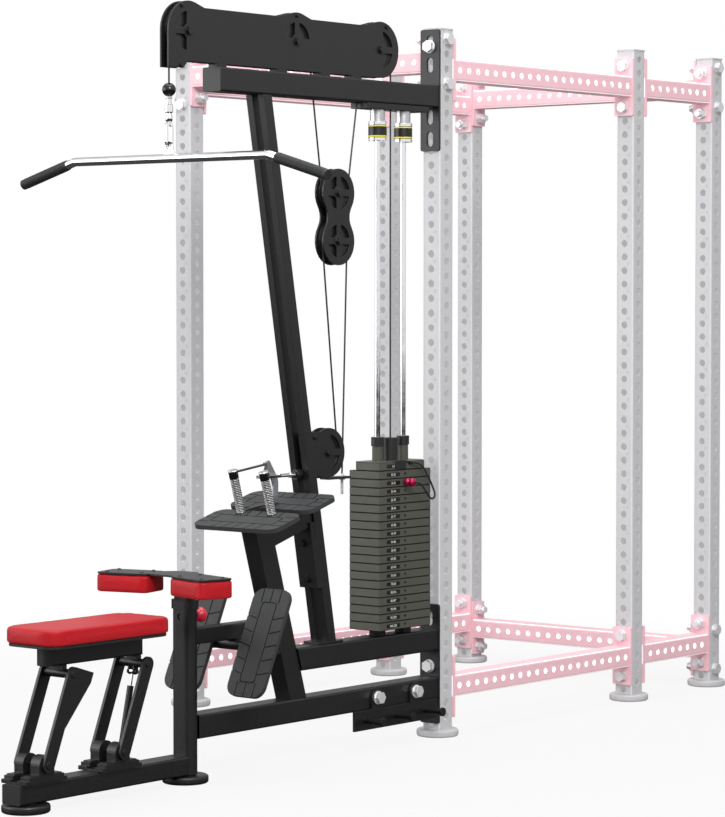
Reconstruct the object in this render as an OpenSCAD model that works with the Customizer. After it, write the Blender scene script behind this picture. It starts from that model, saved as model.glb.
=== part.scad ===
// Power cage with a lat pulldown and low row station on its front upright.
// Origin: centre of the near front upright's foot, on the floor.
// +X runs from the seat into the cage, +Y to the far side, +Z up.

/* [Cage] */
// Height of the uprights above the floor
cage_h = 2438.4; // [2200:0.1:2700]
// Spacing of the front and middle uprights
bay_x = 1168.4; // [900:0.1:1400]
// Spacing of the middle and rear uprights
rear_bay_x = 533.4; // [450:0.1:800]
// Spacing of the near and far uprights
cage_w = 1168.4; // [900:0.1:1400]
// Width of the square uprights and rails
tube_w = 76.2; // [70:0.1:84]
// Wall of the uprights and rails
tube_t = 3; // [2:0.1:4]
// Outer corner radius of the uprights and rails
tube_r = 9; // [6:0.5:12]
// Diameter of the holes in the uprights
hole_d = 25.4; // [22:0.1:25.4]
// Spacing of the holes in the uprights
hole_pitch = 50.8; // [50.8:0.1:56]
// Height of the lowest hole
hole_first = 43.5; // [42:0.1:50]
// Thickness of the caps on tube ends
cap_t = 5; // [3:0.5:8]
// Overhang of a cap round its tube
cap_lip = 1.5; // [0:0.1:3]
// Depth of the plug under a cap
cap_plug = 15; // [8:1:18]

/* [Feet] */
// Diameter of the foot discs
foot_d = 146; // [130:1:160]
// Height of the foot discs
foot_h = 25; // [20:0.5:28]
// Edge radius of the foot discs
foot_edge = 7; // [3:0.5:9]

/* [Rails] */
// Diameter of the holes along a rail
rail_hole_d = 22; // [16:0.5:26]
// Distance from an upright's centre to the first rail hole, at least
rail_hole_start = 76.2; // [70:0.1:100]
// Thickness of the flanges on rail ends
flange_t = 9.5; // [6:0.5:12]
// Overhang of a flange on each side of its rail
flange_lip = 3.1; // [0:0.1:5]
// Length of a flange beyond its bolt
flange_end = 32.4; // [26:0.1:32.4]

/* [Cage bolts] */
// Radial clearance of a bolt in its hole
bolt_clear = 0.4; // [0.3:0.05:1]
// Width across flats of a bolt head and nut
head_af = 36; // [30:0.5:38]
// Height of a bolt head
head_h = 15; // [10:0.5:18]
// Diameter of a washer
washer_d = 45; // [40:0.5:48]
// Thickness of a washer
washer_t = 3.5; // [2:0.1:4]
// Height of a nut
nut_h = 19; // [14:0.5:22]
// Length of thread beyond a nut
stud_out = 14; // [6:0.5:20]
// Length of bolt beyond a threaded flange
stub_out = 8; // [2:0.5:12]

/* [Station brackets] */
// Thickness of the plates bolted to the upright
bracket_t = 8; // [6:0.5:10]
// Width of the plates bolted to the upright
bracket_w = 82; // [78:0.5:90]
// Length of the upper plate down from the upright's top
upper_bracket_l = 416.4; // [390:0.1:480]
// Lowest point of the lower plate
lower_bracket_z = 48; // [40:1:60]
// Highest point of the lower plate
lower_bracket_top = 462; // [450:1:500]
// Width of the slots in the plates
slot_w = 27; // [26.6:0.1:30]
// Length of the slots in the plates
slot_l = 52; // [50:0.5:60]

/* [Station frame] */
// Width and height of the square station tubes
beam_w = 76.2; // [70:0.1:80]
// Wall of the station tubes
beam_t = 3; // [2:0.1:4]
// Corner radius of the station tubes
beam_r = 6; // [4:0.5:10]
// Drop of the top beam's upper face below the uprights' tops
beam_drop = 192.7; // [185:0.1:230]
// Reach of the top beam in front of the upright's centre
beam_x = 1148; // [1130:1:1220]
// Height of the lower base tube's underside
lower_tube_z = 137; // [130:1:145]
// Height of the upper base tube's underside
upper_tube_z = 303; // [295:1:312]
// Thickness of the plate that holds the guide rods
guide_plate_t = 18.5; // [14:0.5:22]
// Length of the plate that holds the guide rods
guide_plate_l = 330; // [300:1:360]

// Width of the cable slots through the top beam
cable_slot_w = 20; // [14:1:26]
// Length of the cable slots through the top beam
cable_slot_l = 60; // [50:1:80]

/* [Main post] */
// Width of each tube of the main post
post_w = 25.4; // [22:0.1:25.4]
// Depth of the main post
post_depth = 38.1; // [34:0.1:44]
// Slot between the two tubes of the main post
post_slot = 25.4; // [24:0.1:28]
// Wall of the main post's tubes
post_t = 2.5; // [2:0.1:3.5]
// Reach of the main post's front face at its top
post_x = 949; // [920:1:980]
// Lean of the main post from vertical, degrees
post_lean = 10.13; // [9:0.01:11]
// Length of the plate under the main post
post_base_l = 120; // [90:1:140]
// Thickness of the plate under the main post
post_base_t = 8; // [6:0.5:10]

/* [Tread platform] */
// Width of a tread plate
tread_w = 152; // [130:1:160]
// Length of a tread plate
tread_l = 360; // [320:1:380]
// Thickness of a tread plate
tread_t = 14.5; // [10:0.5:26]
// Corner radius of a tread plate
tread_r = 38; // [20:1:50]
// Depth of the grooves in a tread plate
groove_d = 3; // [1:0.5:5]
// Width of the grooves in a tread plate
groove_w = 4; // [2:0.5:6]
// Spacing of the cross grooves in a tread plate
groove_pitch = 46; // [36:1:60]
// Width of the bare panel in a tread plate
panel_w = 56; // [40:1:70]
// Length of the bare panel in a tread plate
panel_l = 262; // [220:1:280]
// Slope of the platform, degrees
platform_tilt = 16.5; // [14:0.1:19]
// Reach of the front tread's centre
platform_x = 992; // [985:1:1000]
// Height of the front tread's centre
platform_z = 811; // [800:1:830]
// Spacing of the two platform treads along the slope
platform_step = 180.4; // [172:0.1:190]
// Width of the platform post and tube
platform_w = 63.5; // [56:0.1:72]
// Depth of the platform post
platform_depth = 76.2; // [70:0.1:84]
// Depth of the sloping platform tube
platform_tube_h = 101.6; // [90:0.1:110]
// Wall of the platform tubes
platform_t = 3; // [2:0.1:4]
// Reach of the platform post's front face at the tread
platform_post_x = 990; // [980:1:1000]
// Lean of the platform post from vertical, degrees
platform_lean = 16.7; // [15.8:0.1:17.5]
// Thickness of the splice block on the main post
splice_t = 23; // [16:0.5:28]
// Lowest point of the splice block
splice_z = 567; // [540:1:600]

/* [Foot plates] */
// Reach of the foot plates' front centre
foot_plate_x = 1089; // [1080:1:1100]
// Height of the foot plates' front centre
foot_plate_z = 434; // [428:1:440]
// Lean of the foot plates from vertical, degrees
foot_plate_lean = 24.7; // [22:0.1:27]
// Offset of each foot plate from the centre plane
foot_plate_y = 136; // [130:1:150]
// Thickness of the steel backing under each foot plate
backing_t = 5; // [3:0.5:8]
// Diameter of the cross tube behind the foot plates
cross_tube_d = 42; // [36:0.5:48]
// Length of the cross tube to each side
cross_tube_l = 190; // [160:1:210]
// Width of the square brace to the thigh post
brace_w = 50.8; // [44:0.1:56]
// Height of the brace's centre
brace_z = 459; // [452:1:464]

/* [Pulleys] */
// Working radius of the three upper pulleys
pulley_r = 73; // [68:0.5:76]
// Height of the rims above the working radius
rim_h = 6; // [4:0.5:8]
// Width of the pulleys
pulley_w = 24; // [18:0.5:26]
// Side clearance of a pulley in its plates
pulley_gap = 0.5; // [0.3:0.1:1]
// Thickness of the pulley plates
plate_t = 6; // [4:0.5:8]
// Margin of the housing plates round the working radius
plate_margin = 21; // [18:0.5:24]
// Height of the housing axles above the beam
axle_z = 104.3; // [102:0.1:112]
// Reach of the front pulley's axle
front_x = 1275; // [1250:1:1300]
// Reach of the middle pulley's axle
middle_x = 762; // [740:1:780]
// Diameter of the pulley axles
axle_d = 12; // [10:0.5:14]
// Radial running clearance of a pulley on its axle
axle_clear = 0.08; // [0.05:0.01:0.1]
// Diameter of the cables
cable_d = 6; // [4:0.5:7]
// Outer radius of the windows in the plates
window_r = 62; // [54:0.5:64]
// Width of the spokes between windows
spoke_w = 22; // [14:0.5:30]
// Radius of the hub between windows
hub_r = 24; // [20:0.5:28]
// Drop of the housing plates in front of the front pulley
guard_z = 116; // [110:1:130]

/* [Floating block] */
// Reach of the block's centre
block_x = 553; // [545:1:560]
// Height of the block's upper axle
block_z = 1866; // [1840:1:1900]
// Spacing of the block's axles
block_span = 159; // [152:0.5:165]
// Working radius of the block's pulleys
block_pulley_r = 63; // [60:0.5:66]
// Outer radius of the block's plates
block_r = 80; // [77:0.5:82]
// Half width of the block's plates at the waist
waist = 55; // [48:0.5:62]

/* [Low pulley] */
// Reach of the low pulley's axle
low_x = 606; // [600:1:612]
// Height of the low pulley's axle
low_z = 1009; // [990:1:1030]
// Working radius of the low pulley
low_pulley_r = 66; // [60:0.5:70]
// Outer radius of the low pulley's plates
low_plate_r = 82; // [78:0.5:86]
// Length of the cable anchor tab
anchor_l = 60; // [50:1:70]

/* [Weight stack] */
// Reach of the stack's centre
stack_x = 261; // [250:1:275]
// Width of a weight plate along X
weight_w = 276; // [250:1:290]
// Depth of a weight plate along Y
weight_d = 131.4; // [110:0.1:140]
// Number of weight plates
weight_n = 20; // [10:1:20]
// Number of plates above the selector pin, with the one it holds
picked_n = 3; // [2:1:6]
// Spacing of the weight plates
weight_pitch = 28.35; // [24:0.05:30]
// Gap between two resting plates
weight_gap = 0.35; // [0.3:0.05:1]
// Height of the lowest plate's underside
stack_z = 401; // [396:1:410]
// Corner cut of the top plate
weight_cut = 35; // [20:1:40]
// Edge cut round every plate
weight_edge = 1.5; // [1:0.1:3]
// Diameter of the guide rods
rod_d = 19; // [16:0.5:22]
// Spacing of the guide rods
rod_span = 137; // [125:1:150]
// Radial clearance of the plates on the rods
rod_clear = 0.5; // [0.3:0.1:1]
// Diameter of the selector stem
stem_d = 22; // [18:0.5:25]
// Diameter of the stem's head
stem_head_d = 52; // [46:0.5:60]
// Height of the stem's head
stem_head_h = 78; // [60:1:90]
// Diameter of the tubes round the rods on the top plate
rod_tube_d = 36; // [30:0.5:40]
// Height of the tubes round the rods on the top plate
rod_tube_h = 82; // [60:1:90]
// Diameter of the collars on those tubes
rod_collar_d = 43; // [40:0.5:48]
// Height of the collars on those tubes
rod_collar_h = 30; // [20:1:40]
// Diameter of the rubber bumpers
bumper_d = 55; // [40:1:60]
// Diameter of the sleeves at the rods' tops
sleeve_d = 62; // [50:1:66]
// Height of the sleeves at the rods' tops
sleeve_h = 64; // [50:1:80]
// Diameter of the clamp collars at the rods' tops
clamp_d = 50; // [40:1:58]
// Height of the clamp collars at the rods' tops
clamp_h = 40; // [30:1:50]
// Diameter of the selector pin
pin_d = 9.5; // [8:0.1:10]
// Radial clearance of the selector pin
pin_clear = 0.5; // [0.3:0.1:1]
// Diameter of the selector pin's knob
knob_d = 30; // [24:0.5:34]
// Length of the selector pin's knob
knob_l = 40; // [26:0.5:46]

/* [Lat bar] */
// Drop from the upper pulleys' axle to the middle of the cable ball
ball_drop = 185; // [170:1:210]
// Diameter of the rubber stop
ball_d = 43; // [36:0.5:50]
// Length of the swivel
swivel_l = 79; // [70:1:90]
// Length of the snap hook
snap_l = 77; // [70:1:84]
// Height of the bar's tab
tab_h = 40; // [34:1:44]
// Diameter of the lat bar
bar_d = 28; // [25:0.5:32]
// Half length of the straight part of the bar
bar_l = 411; // [360:1:440]
// Length of each bent end of the bar
bar_end_l = 231; // [200:1:250]
// Drop of the bent ends, degrees
bar_drop = 16; // [12:0.5:20]
// Diameter of the rubber grips on the bar
bar_grip_d = 33; // [31:0.5:36]
// Length of the rubber grips on the bar
bar_grip_l = 205; // [170:1:210]

/* [Row handle] */
// Reach of the row grips where they stand
row_x = 943; // [935:1:950]
// Offset of each row grip from the centre plane
row_y = 66; // [60:1:75]
// Diameter of the row grips
row_grip_d = 29; // [25:0.5:32]
// Length of the row grips with their caps
row_grip_l = 146; // [130:1:155]
// Diameter of the caps on the row grips
row_cap_d = 32; // [30.5:0.5:36]
// Length of the caps on the row grips
row_cap_l = 24; // [14:1:28]
// Distance from the grips back to the strap
strap_back = 92; // [86:1:100]
// Bow of the strap at its middle
strap_bow = 24; // [16:1:32]
// Width of the strap
strap_w = 26; // [20:0.5:30]
// Thickness of the strap
strap_t = 8; // [6:0.5:10]
// Diameter of the rods from the grips to the strap
row_rod_d = 10; // [8:0.5:12]
// Length of the snap link
link_l = 104; // [98:1:112]
// Width of the snap link
link_w = 38; // [34:0.5:44]
// Thickness of the snap link
link_d = 9; // [7:0.5:11]

/* [Thigh support] */
// Reach of the thigh post's centre
thigh_x = 1281; // [1275:1:1290]
// Depth of the thigh post along X
thigh_d = 50; // [46:0.5:52]
// Width of the thigh post along Y
thigh_w = 85; // [76:0.5:90]
// Wall of the thigh post
thigh_t = 3; // [2.5:0.1:4]
// Height of the thigh post's top
thigh_top = 570; // [560:1:580]
// Height of the collar on the thigh post
collar_h = 29; // [24:0.5:34]
// Wall of the collar on the thigh post
collar_t = 5; // [4:0.5:6]
// Sliding clearance of the inner post
thigh_clear = 0.5; // [0.3:0.1:0.8]
// Height of the pads' undersides
pad_z = 599; // [592:1:610]
// Height of the thigh pads
pad_h = 57; // [50:0.5:65]
// Length of a thigh pad
pad_l = 190; // [170:1:210]
// Width of a thigh pad
pad_w = 128; // [110:1:140]
// Corner radius of a thigh pad
pad_r = 22; // [12:1:30]
// Reach of the thigh pads' centres
pad_x = 1370; // [1365:1:1380]
// Offset of each thigh pad from the centre plane
pad_y = 151; // [145:1:160]
// Toe of the thigh pads, degrees
pad_toe = 14.4; // [10:0.2:18]
// Thickness of the plate over the pads
pad_plate_t = 6; // [4:0.5:8]
// Gap under soft pads
soft_gap = 0.3; // [0.2:0.1:0.5]
// Length of the inner post below the collar
carrier_in = 300; // [250:1:340]
// Height of the pull knob's axis
pull_z = 523; // [515:1:530]
// Diameter of the pull knob
pull_d = 48; // [40:0.5:54]
// Travel of the pull knob
pull_travel = 12; // [8:0.5:14]

/* [Seat] */
// Reach of the seat pad's front edge
seat_x = 1973; // [1960:1:1990]
// Length of the seat pad
seat_l = 532; // [500:1:550]
// Width of the seat pad
seat_w = 232; // [210:1:260]
// Corner radius of the seat pad
seat_r = 60; // [40:1:80]
// Height of the seat pad's underside
seat_z = 495; // [490:1:500]
// Thickness of the seat pad
seat_h = 50; // [44:0.5:60]
// Thickness of the board under the seat pad
board_t = 8; // [6:0.5:10]
// Width and height of the seat's carrier tube
carrier_w = 60; // [54:0.5:64]
// Reach of the carrier tube's front end
carrier_x = 1895; // [1885:1:1910]
// Length of the carrier tube
carrier_l = 391; // [380:1:400]
// Width of the seat rail
rail_w = 76.2; // [70:0.1:80]
// Height of the seat rail
rail_h = 60; // [54:0.5:64]
// Height of the seat rail's underside
rail_z = 28; // [28:0.5:31]
// Reach of the seat rail's front end
rail_x = 2027; // [2020:1:2040]
// Reach of the front disc's centre
rail_foot_x = 1972; // [1950:1:1980]

/* [Seat links] */
// Reach of the front link's lower pivot
link_x = 1937; // [1930:1:1942]
// Spacing of the two links
link_span = 320; // [316:1:324]
// Length of the links between pivots
link_len = 281.4; // [276:0.1:290]
// Lean of the links from vertical, degrees
link_lean = 21.7; // [20:0.1:23]
// Height of the lower pivots above the seat rail
pivot_h = 51.5; // [49:0.5:54]
// Width of a link's side bars
link_bar = 45; // [40:0.5:50]
// Thickness of a link's side bars
link_t = 10; // [8:0.5:11]
// Inner distance between a link's side bars, halved
link_in = 54; // [52:0.5:56]
// Diameter of the links' bushes
bush_d = 28; // [24:0.5:30]
// Diameter of the links' pivot pins
pivot_d = 14; // [12:0.5:16]
// Radial clearance of the pivots
pivot_clear = 0.08; // [0.05:0.01:0.1]
// Radius of the hinge ears
ear_r = 31; // [28:0.5:33]
// Width of each hinge ear
ear_w = 38; // [34:0.5:40]
// Side clearance beside the ears and bushes
side_gap = 0.5; // [0.3:0.1:1]
// Length of a hinge base
hinge_l = 168; // [150:1:180]
// Diameter of the gas spring's body
gas_d = 20; // [16:0.5:22]
// Diameter of the gas spring's rod
gas_rod_d = 8; // [6:0.5:10]

/* [Pegs] */
// Thickness of the peg plate
peg_plate_t = 8; // [6:0.5:10]
// Length of the peg plate
peg_plate_l = 447; // [420:1:450]
// Height of the peg plate's underside
peg_plate_z = 73; // [68:1:78]
// Height of the peg plate's long part
peg_plate_h = 67; // [60:1:72]
// Reach of the peg plate's rear end
peg_plate_x = 59; // [56:1:70]
// Length of a peg
peg_l = 79; // [60:1:90]
// Diameter of a peg
peg_d = 20; // [16:0.5:24]
// Diameter of a peg's end
peg_cap_d = 30; // [26:0.5:34]
// Spacing of the pegs
peg_pitch = 160; // [140:1:165]
// Reach of the rear peg
peg_x = 127; // [120:1:140]
// Reach of the rear tab's bolt
peg_bolt_x = 178; // [170:1:190]
// Spacing of the two tab bolts
peg_bolt_pitch = 205; // [190:1:220]

/* [Hidden] */
$fn = 40;

// Small clearance between seated pieces of different bodies
seat_gap = 0.3;
groove_gap = 0.5;

// Cage
half_w = tube_w / 2;
mid_x = bay_x;
rear_x = bay_x + rear_bay_x;
hole_n = floor((cage_h - hole_first - hole_pitch / 2 - hole_d / 2 - 5) / hole_pitch) + 1;
function hole_z(k) = hole_first + k * hole_pitch;
top_rail_z = hole_z(hole_n - 2.5);
bottom_rail_z = hole_z(2.5);
top_cross_z = hole_z(hole_n - 2);
bottom_cross_z = hole_z(2);
flange_bolt = 1.5 * hole_pitch;
bolt_d = hole_d - 2 * bolt_clear;

// Station planes
bracket_x = -half_w - bracket_t;
beam_top = cage_h - beam_drop;
beam_z = beam_top - beam_w;
beam_half = beam_w / 2;
lower_tube_top = lower_tube_z + beam_w;
upper_tube_top = upper_tube_z + beam_w;
post_foot_z = upper_tube_top + post_base_t;
post_y = (post_slot + post_w) / 2;
post_run = post_depth / cos(post_lean);
function post_front(z) = -post_x + (beam_z - z) * tan(post_lean);
function post_rear(z) = post_front(z) + post_run;

// Platform
platform_dir = [cos(platform_tilt), sin(platform_tilt)];
platform_up = [-sin(platform_tilt), cos(platform_tilt)];
tread_a = [-platform_x, platform_z];
tread_b = tread_a + platform_step * platform_dir;
tread_under = tread_a - tread_t * platform_up;
platform_run = platform_depth / cos(platform_lean);
function platform_front(z) = -platform_post_x + (tread_under[1] - z) * tan(platform_lean);
function platform_rear(z) = platform_front(z) + platform_run;
function slope_z(x) = tread_under[1] + (x - tread_under[0]) * tan(platform_tilt);

// Foot plates
foot_out = [-cos(foot_plate_lean), sin(foot_plate_lean)];
foot_plate_c = [-foot_plate_x, foot_plate_z];
foot_back = foot_plate_c - tread_t * foot_out;
cross_tube_sink = 2;
cross_tube_c = foot_back - (backing_t + cross_tube_d / 2 - cross_tube_sink) * foot_out;

// Pulleys
inner_y = pulley_w / 2 + pulley_gap;
outer_y = inner_y + plate_t;
cable_r = cable_d / 2;
rear_pulley_x = stack_x + pulley_r;
axle_h = beam_top + axle_z;
front_c = [-front_x, axle_h];
middle_c = [-middle_x, axle_h];
rear_c = [-rear_pulley_x, axle_h];
plate_r = pulley_r + plate_margin;
block_top_c = [-block_x, block_z];
block_low_c = [-block_x, block_z - block_span];
low_c = [-low_x, low_z];
plate_top = pulley_r + cable_r;
keeper_d = 8;
keeper_r = pulley_r + rim_h + keeper_d / 2 + 1;
bolt_head_af = 22;
bolt_head_h = 7;

// Weight stack
weight_t = weight_pitch - weight_gap;
stack_top = stack_z + (weight_n - 1) * weight_pitch + weight_t;
pick_z = stack_z + (weight_n - picked_n) * weight_pitch + weight_t / 2;
face_y = -weight_d / 2;
stem_top = stack_top + stem_head_h;
rod_foot = upper_tube_top;
sleeve_top = beam_z - guide_plate_t - clamp_h;
knob_y = face_y - 1.5;

// Lat bar
drop_x = -front_x - pulley_r;
ball_flat = 0.93;
ball_z = axle_h - ball_drop;
swivel_top = ball_z - ball_d / 2 * ball_flat;
snap_top = swivel_top - swivel_l;
snap_low = snap_top - snap_l;
tab_hole_d = 22;
tab_hole_z = snap_low + 11.6 - tab_hole_d / 2;
tab_r = tab_hole_d / 2 + 5;
bar_z = tab_hole_z - tab_h + 3;
swivel_pin_d = 10;
bar_bend_r = 60;
bar_straight = bar_l - bar_bend_r * tan(bar_drop / 2);

// Row handle
cable_z = low_z - low_pulley_r;
row_base = [-row_x, platform_z + (-row_x + platform_x) * tan(platform_tilt)] + seat_gap * platform_up;
function row_point(u, w) = row_base + u * platform_dir + w * platform_up;
strap_edge = row_point(strap_back + strap_bow + strap_w / 2, row_grip_l / 2);
stop_l = 22;
stop_d = 34;
stop_x = post_front(cable_z + stop_d / 2) - seat_gap;
link_x1 = strap_edge[0] + link_d + 2 * seat_gap;

// Thigh support
carrier_d = thigh_d - 2 * thigh_t - 2 * thigh_clear;
carrier_wy = thigh_w - 2 * thigh_t - 2 * thigh_clear;
carrier_low = thigh_top - carrier_in;
pad_top = pad_z + pad_h;
collar_top = thigh_top + 7;
pad_plate_z = pad_top + soft_gap;

// Seat
rail_top = rail_z + rail_h;
pivot_z = rail_top + pivot_h;
link_rise = link_len * cos(link_lean);
link_shift = link_len * sin(link_lean);
front_low = [-link_x, pivot_z];
rear_low = front_low + [link_span, 0];
front_top = front_low + [link_shift, link_rise];
rear_top = rear_low + [link_shift, link_rise];
board_z = seat_z - board_t - soft_gap;
carrier_z = board_z - carrier_w;
bush_y = link_in - side_gap;
ear_y = link_in - side_gap - ear_w / 2;
gas_low = rear_low + [42, -29.5];
gas_eye = rear_top + [-4, -27];
gas_pin_d = 8;

// Lanyard: hangs from the top plate to the knob of the selector pin
lanyard_d = 7;
lanyard_route = [
  [-238, -75.5, 961], [-230, -77.5, 962], [-215, -79.5, 960], [-196, -81, 953], [-176, -82, 936],
  [-162, -84, 914], [-148, -86, 892], [-138, -88, 872], [-134, -92, 856], [-142, -98, 844],
  [-160, -105, 838], [-180, -111, 840], [-198, -115, 850], [-212, -117, 864], [-224, -116, 878],
  [-236, -116, 889], [-248, -113, 895], [-257, -111, 897]
];

// ---- Outline functions

function arc(c, r, a0, a1, n = 6) =
  [for (i = [0 : n]) c + r * [cos(a0 + (a1 - a0) * i / n), sin(a0 + (a1 - a0) * i / n)]];

function rrect(w, d, r, n = 4) = concat(
  arc([w / 2 - r, d / 2 - r], r, 0, 90, n),
  arc([r - w / 2, d / 2 - r], r, 90, 180, n),
  arc([r - w / 2, r - d / 2], r, 180, 270, n),
  arc([w / 2 - r, r - d / 2], r, 270, 360, n));

function obround(w, l, n = 10) = concat(
  arc([0, (l - w) / 2], w / 2, 0, 180, n),
  arc([0, (w - l) / 2], w / 2, 180, 360, n));

// Angle at which a line from the point (dx, dz) off a circle's centre touches it
function touch_angle(dx, dz, r) = atan2(dz, dx) + (dx > 0 ? 1 : -1) * acos(r / norm([dx, dz]));

// One window between two spokes, in the first quadrant
function window(r, s, h) = concat(
  arc([0, 0], r, asin(s / r), 90 - asin(s / r), 8),
  arc([0, 0], h, 90 - asin(s / h), asin(s / h), 4));

// Heading of the cable from circle 1 to circle 2; q is the radius, signed by the turning sense
function heading(c1, q1, c2, q2) =
  atan2(c2[1] - c1[1], c2[0] - c1[0]) - asin((q2 - q1) / norm(c2 - c1));

// Cable points round a pulley from heading t0 to heading t1
function wrap(c, q, t0, t1, n) =
  [for (i = [0 : n]) let (t = t0 + (t1 - t0) * i / n) c - q * [-sin(t), cos(t)]];

// ---- Shape helpers

module tube(w, d, t, r, len) {
  linear_extrude(len) difference() {
    polygon(rrect(w, d, r));
    polygon(rrect(w - 2 * t, d - 2 * t, max(r - t, 0.6)));
  }
}

// Along X from x0 to x1, centred on height z
module tube_x(x0, x1, z, w, h, t, r) {
  translate([x0, 0, z]) rotate([90, 0, 90]) tube(w, h, t, r, x1 - x0);
}

// Plate with its outline in X and Z, between two values of Y
module slab(points, y0, y1) {
  translate([0, y1, 0]) rotate([90, 0, 0]) linear_extrude(y1 - y0) polygon(points);
}

module rod_x(x0, x1, y, z, d) {
  translate([x0, y, z]) rotate([0, 90, 0]) cylinder(d = d, h = x1 - x0);
}

module rod_y(c, y0, y1, d) {
  translate([c[0], y1, c[1]]) rotate([90, 0, 0]) cylinder(d = d, h = y1 - y0);
}

module mirror_y() {
  children();
  mirror([0, 1, 0]) children();
}

// Closed tube swept along 3-D points
module sweep(points, d, sides = 8) {
  n = len(points);
  function dir(i) = let (v = points[min(i + 1, n - 1)] - points[max(i - 1, 0)]) v / norm(v);
  function side(i) = let (v = cross([0, 1, 0], dir(i))) v / norm(v);
  rings = [for (i = [0 : n - 1]) let (u = side(i), v = cross(dir(i), u))
    for (j = [0 : sides - 1]) points[i] + d / 2 * (cos(360 * j / sides) * u + sin(360 * j / sides) * v)];
  walls = [for (i = [0 : n - 2]) for (j = [0 : sides - 1]) let (k = (j + 1) % sides)
    [i * sides + j, (i + 1) * sides + j, (i + 1) * sides + k, i * sides + k]];
  first = [for (j = [0 : sides - 1]) j];
  last = [for (j = [sides - 1 : -1 : 0]) (n - 1) * sides + j];
  polyhedron(rings, concat(walls, [first, last]));
}

function in_plane(points) = [for (p = points) [p[0], 0, p[1]]];

// Hexagon head with its washer, under face at z = 0
module hex_head(af, h, wd, wt) {
  translate([0, 0, -wt]) cylinder(d = wd, h = wt);
  translate([0, 0, -wt - h]) cylinder(d = af / cos(30), h = h + wt / 2, $fn = 6);
}

// Bolt along +Z with its head below z = 0
module bolt(d, len, af, h, wd, wt) {
  hex_head(af, h, wd, wt);
  translate([0, 0, -wt / 2]) cylinder(d = d, h = len + wt / 2);
}

// Nut with its washer above z = 0
module nut(d, af, h, wd, wt) {
  difference() {
    union() {
      cylinder(d = wd, h = wt);
      translate([0, 0, wt / 2]) cylinder(d = af / cos(30), h = h + wt / 2, $fn = 6);
    }
    translate([0, 0, -1]) cylinder(d = d + 0.2, h = h + wt + 2);
  }
}

// ---- Cage

module upright(x, y) {
  color("gainsboro") translate([x, y, 0]) difference() {
    difference() {
      translate([0, 0, foot_h]) tube(tube_w, tube_w, tube_t, tube_r, cage_h - foot_h);
      for (k = [0 : hole_n - 1]) rod_x(-tube_w, tube_w, 0, hole_z(k), hole_d);
    }
    for (k = [0 : hole_n - 1]) rod_y([0, hole_z(k + 0.5)], -tube_w, tube_w, hole_d);
  }
}

module upright_front_near() { upright(0, 0); }
module upright_front_far() { upright(0, cage_w); }
module upright_mid_near() { upright(mid_x, 0); }
module upright_mid_far() { upright(mid_x, cage_w); }
module upright_rear_near() { upright(rear_x, 0); }
module upright_rear_far() { upright(rear_x, cage_w); }

module at_uprights() {
  for (x = [0, mid_x, rear_x]) for (y = [0, cage_w]) translate([x, y, 0]) children();
}

// Cap with its plug pointing down, for a tube of w by d
module end_cap(w, d, t, r, lip) {
  plug_r = max(r - t - seat_gap, 0.5);
  linear_extrude(cap_t) polygon(rrect(w + 2 * lip, d + 2 * lip, r));
  translate([0, 0, -cap_plug]) linear_extrude(cap_plug + cap_t / 2)
    polygon(rrect(w - 2 * t - 2 * seat_gap, d - 2 * t - 2 * seat_gap, plug_r));
}

module thigh_collar() {
  difference() {
    translate([-thigh_x, 0, collar_top - collar_h])
      linear_extrude(collar_h) polygon(obround(thigh_d + 2 * collar_t, thigh_w + 2 * collar_t));
    translate([-thigh_x, 0, collar_top - collar_h - 1])
      linear_extrude(collar_h + 1 - (collar_top - thigh_top)) polygon(obround(thigh_d, thigh_w));
    translate([-thigh_x, 0, thigh_top - 1]) linear_extrude(collar_h)
      polygon(obround(carrier_d + 2 * thigh_clear, carrier_wy + 2 * thigh_clear));
  }
}

module tube_caps() {
  color("dimgray") {
    at_uprights() translate([0, 0, cage_h]) end_cap(tube_w, tube_w, tube_t, tube_r, cap_lip);
    translate([-beam_x, 0, beam_z + beam_half]) rotate([0, -90, 0])
      end_cap(beam_w, beam_w, beam_t, beam_r, 0);
    translate([-rail_x, 0, rail_z + rail_h / 2]) rotate([0, -90, 0])
      end_cap(rail_h, rail_w, beam_t, beam_r, 0);
    thigh_collar();
  }
}

module foot_disc(neck) {
  rotate_extrude($fn = 60) polygon(concat(
    [[0, 0]],
    arc([foot_d / 2 - foot_edge, foot_edge], foot_edge, -90, 0, 5),
    arc([foot_d / 2 - foot_edge, foot_h - foot_edge], foot_edge, 0, 90, 5),
    [[0, foot_h]]));
  if (neck > 0) translate([0, 0, foot_h - 1]) cylinder(d = 60, h = neck + 1);
}

module foot_discs() {
  color("silver") at_uprights() foot_disc(0);
  color("black") {
    for (x = [rail_foot_x, thigh_x]) translate([-x, 0, 0]) foot_disc(rail_z - foot_h);
  }
}

// Rail along +X between two facing uprights whose centres are span apart
module rail(span, lip) {
  len = span - tube_w;
  holes = floor((span - 2 * rail_hole_start) / hole_pitch + 0.001);
  flange_h = 2 * (flange_bolt + flange_end);
  color("pink") translate([half_w, 0, 0]) difference() {
    union() {
      tube_x(flange_t / 2, len - flange_t / 2, 0, tube_w, tube_w, tube_t, tube_r);
      for (x = [0, len - flange_t]) translate([x, 0, 0]) rotate([90, 0, 90])
        linear_extrude(flange_t) polygon(rrect(tube_w + 2 * lip, flange_h, 6));
    }
    for (i = [0 : holes])
      rod_y([len / 2 + (i - holes / 2) * hole_pitch, 0], -tube_w, tube_w, rail_hole_d);
    for (z = [-1, 1]) for (x = [-1, len - flange_t - 1])
      rod_x(x, x + flange_t + 2, 0, z * flange_bolt, hole_d);
  }
}

module side_rails(y, z) {
  translate([0, y, z]) rail(bay_x, flange_lip);
  translate([mid_x, y, z]) rail(rear_bay_x, flange_lip);
}

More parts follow.
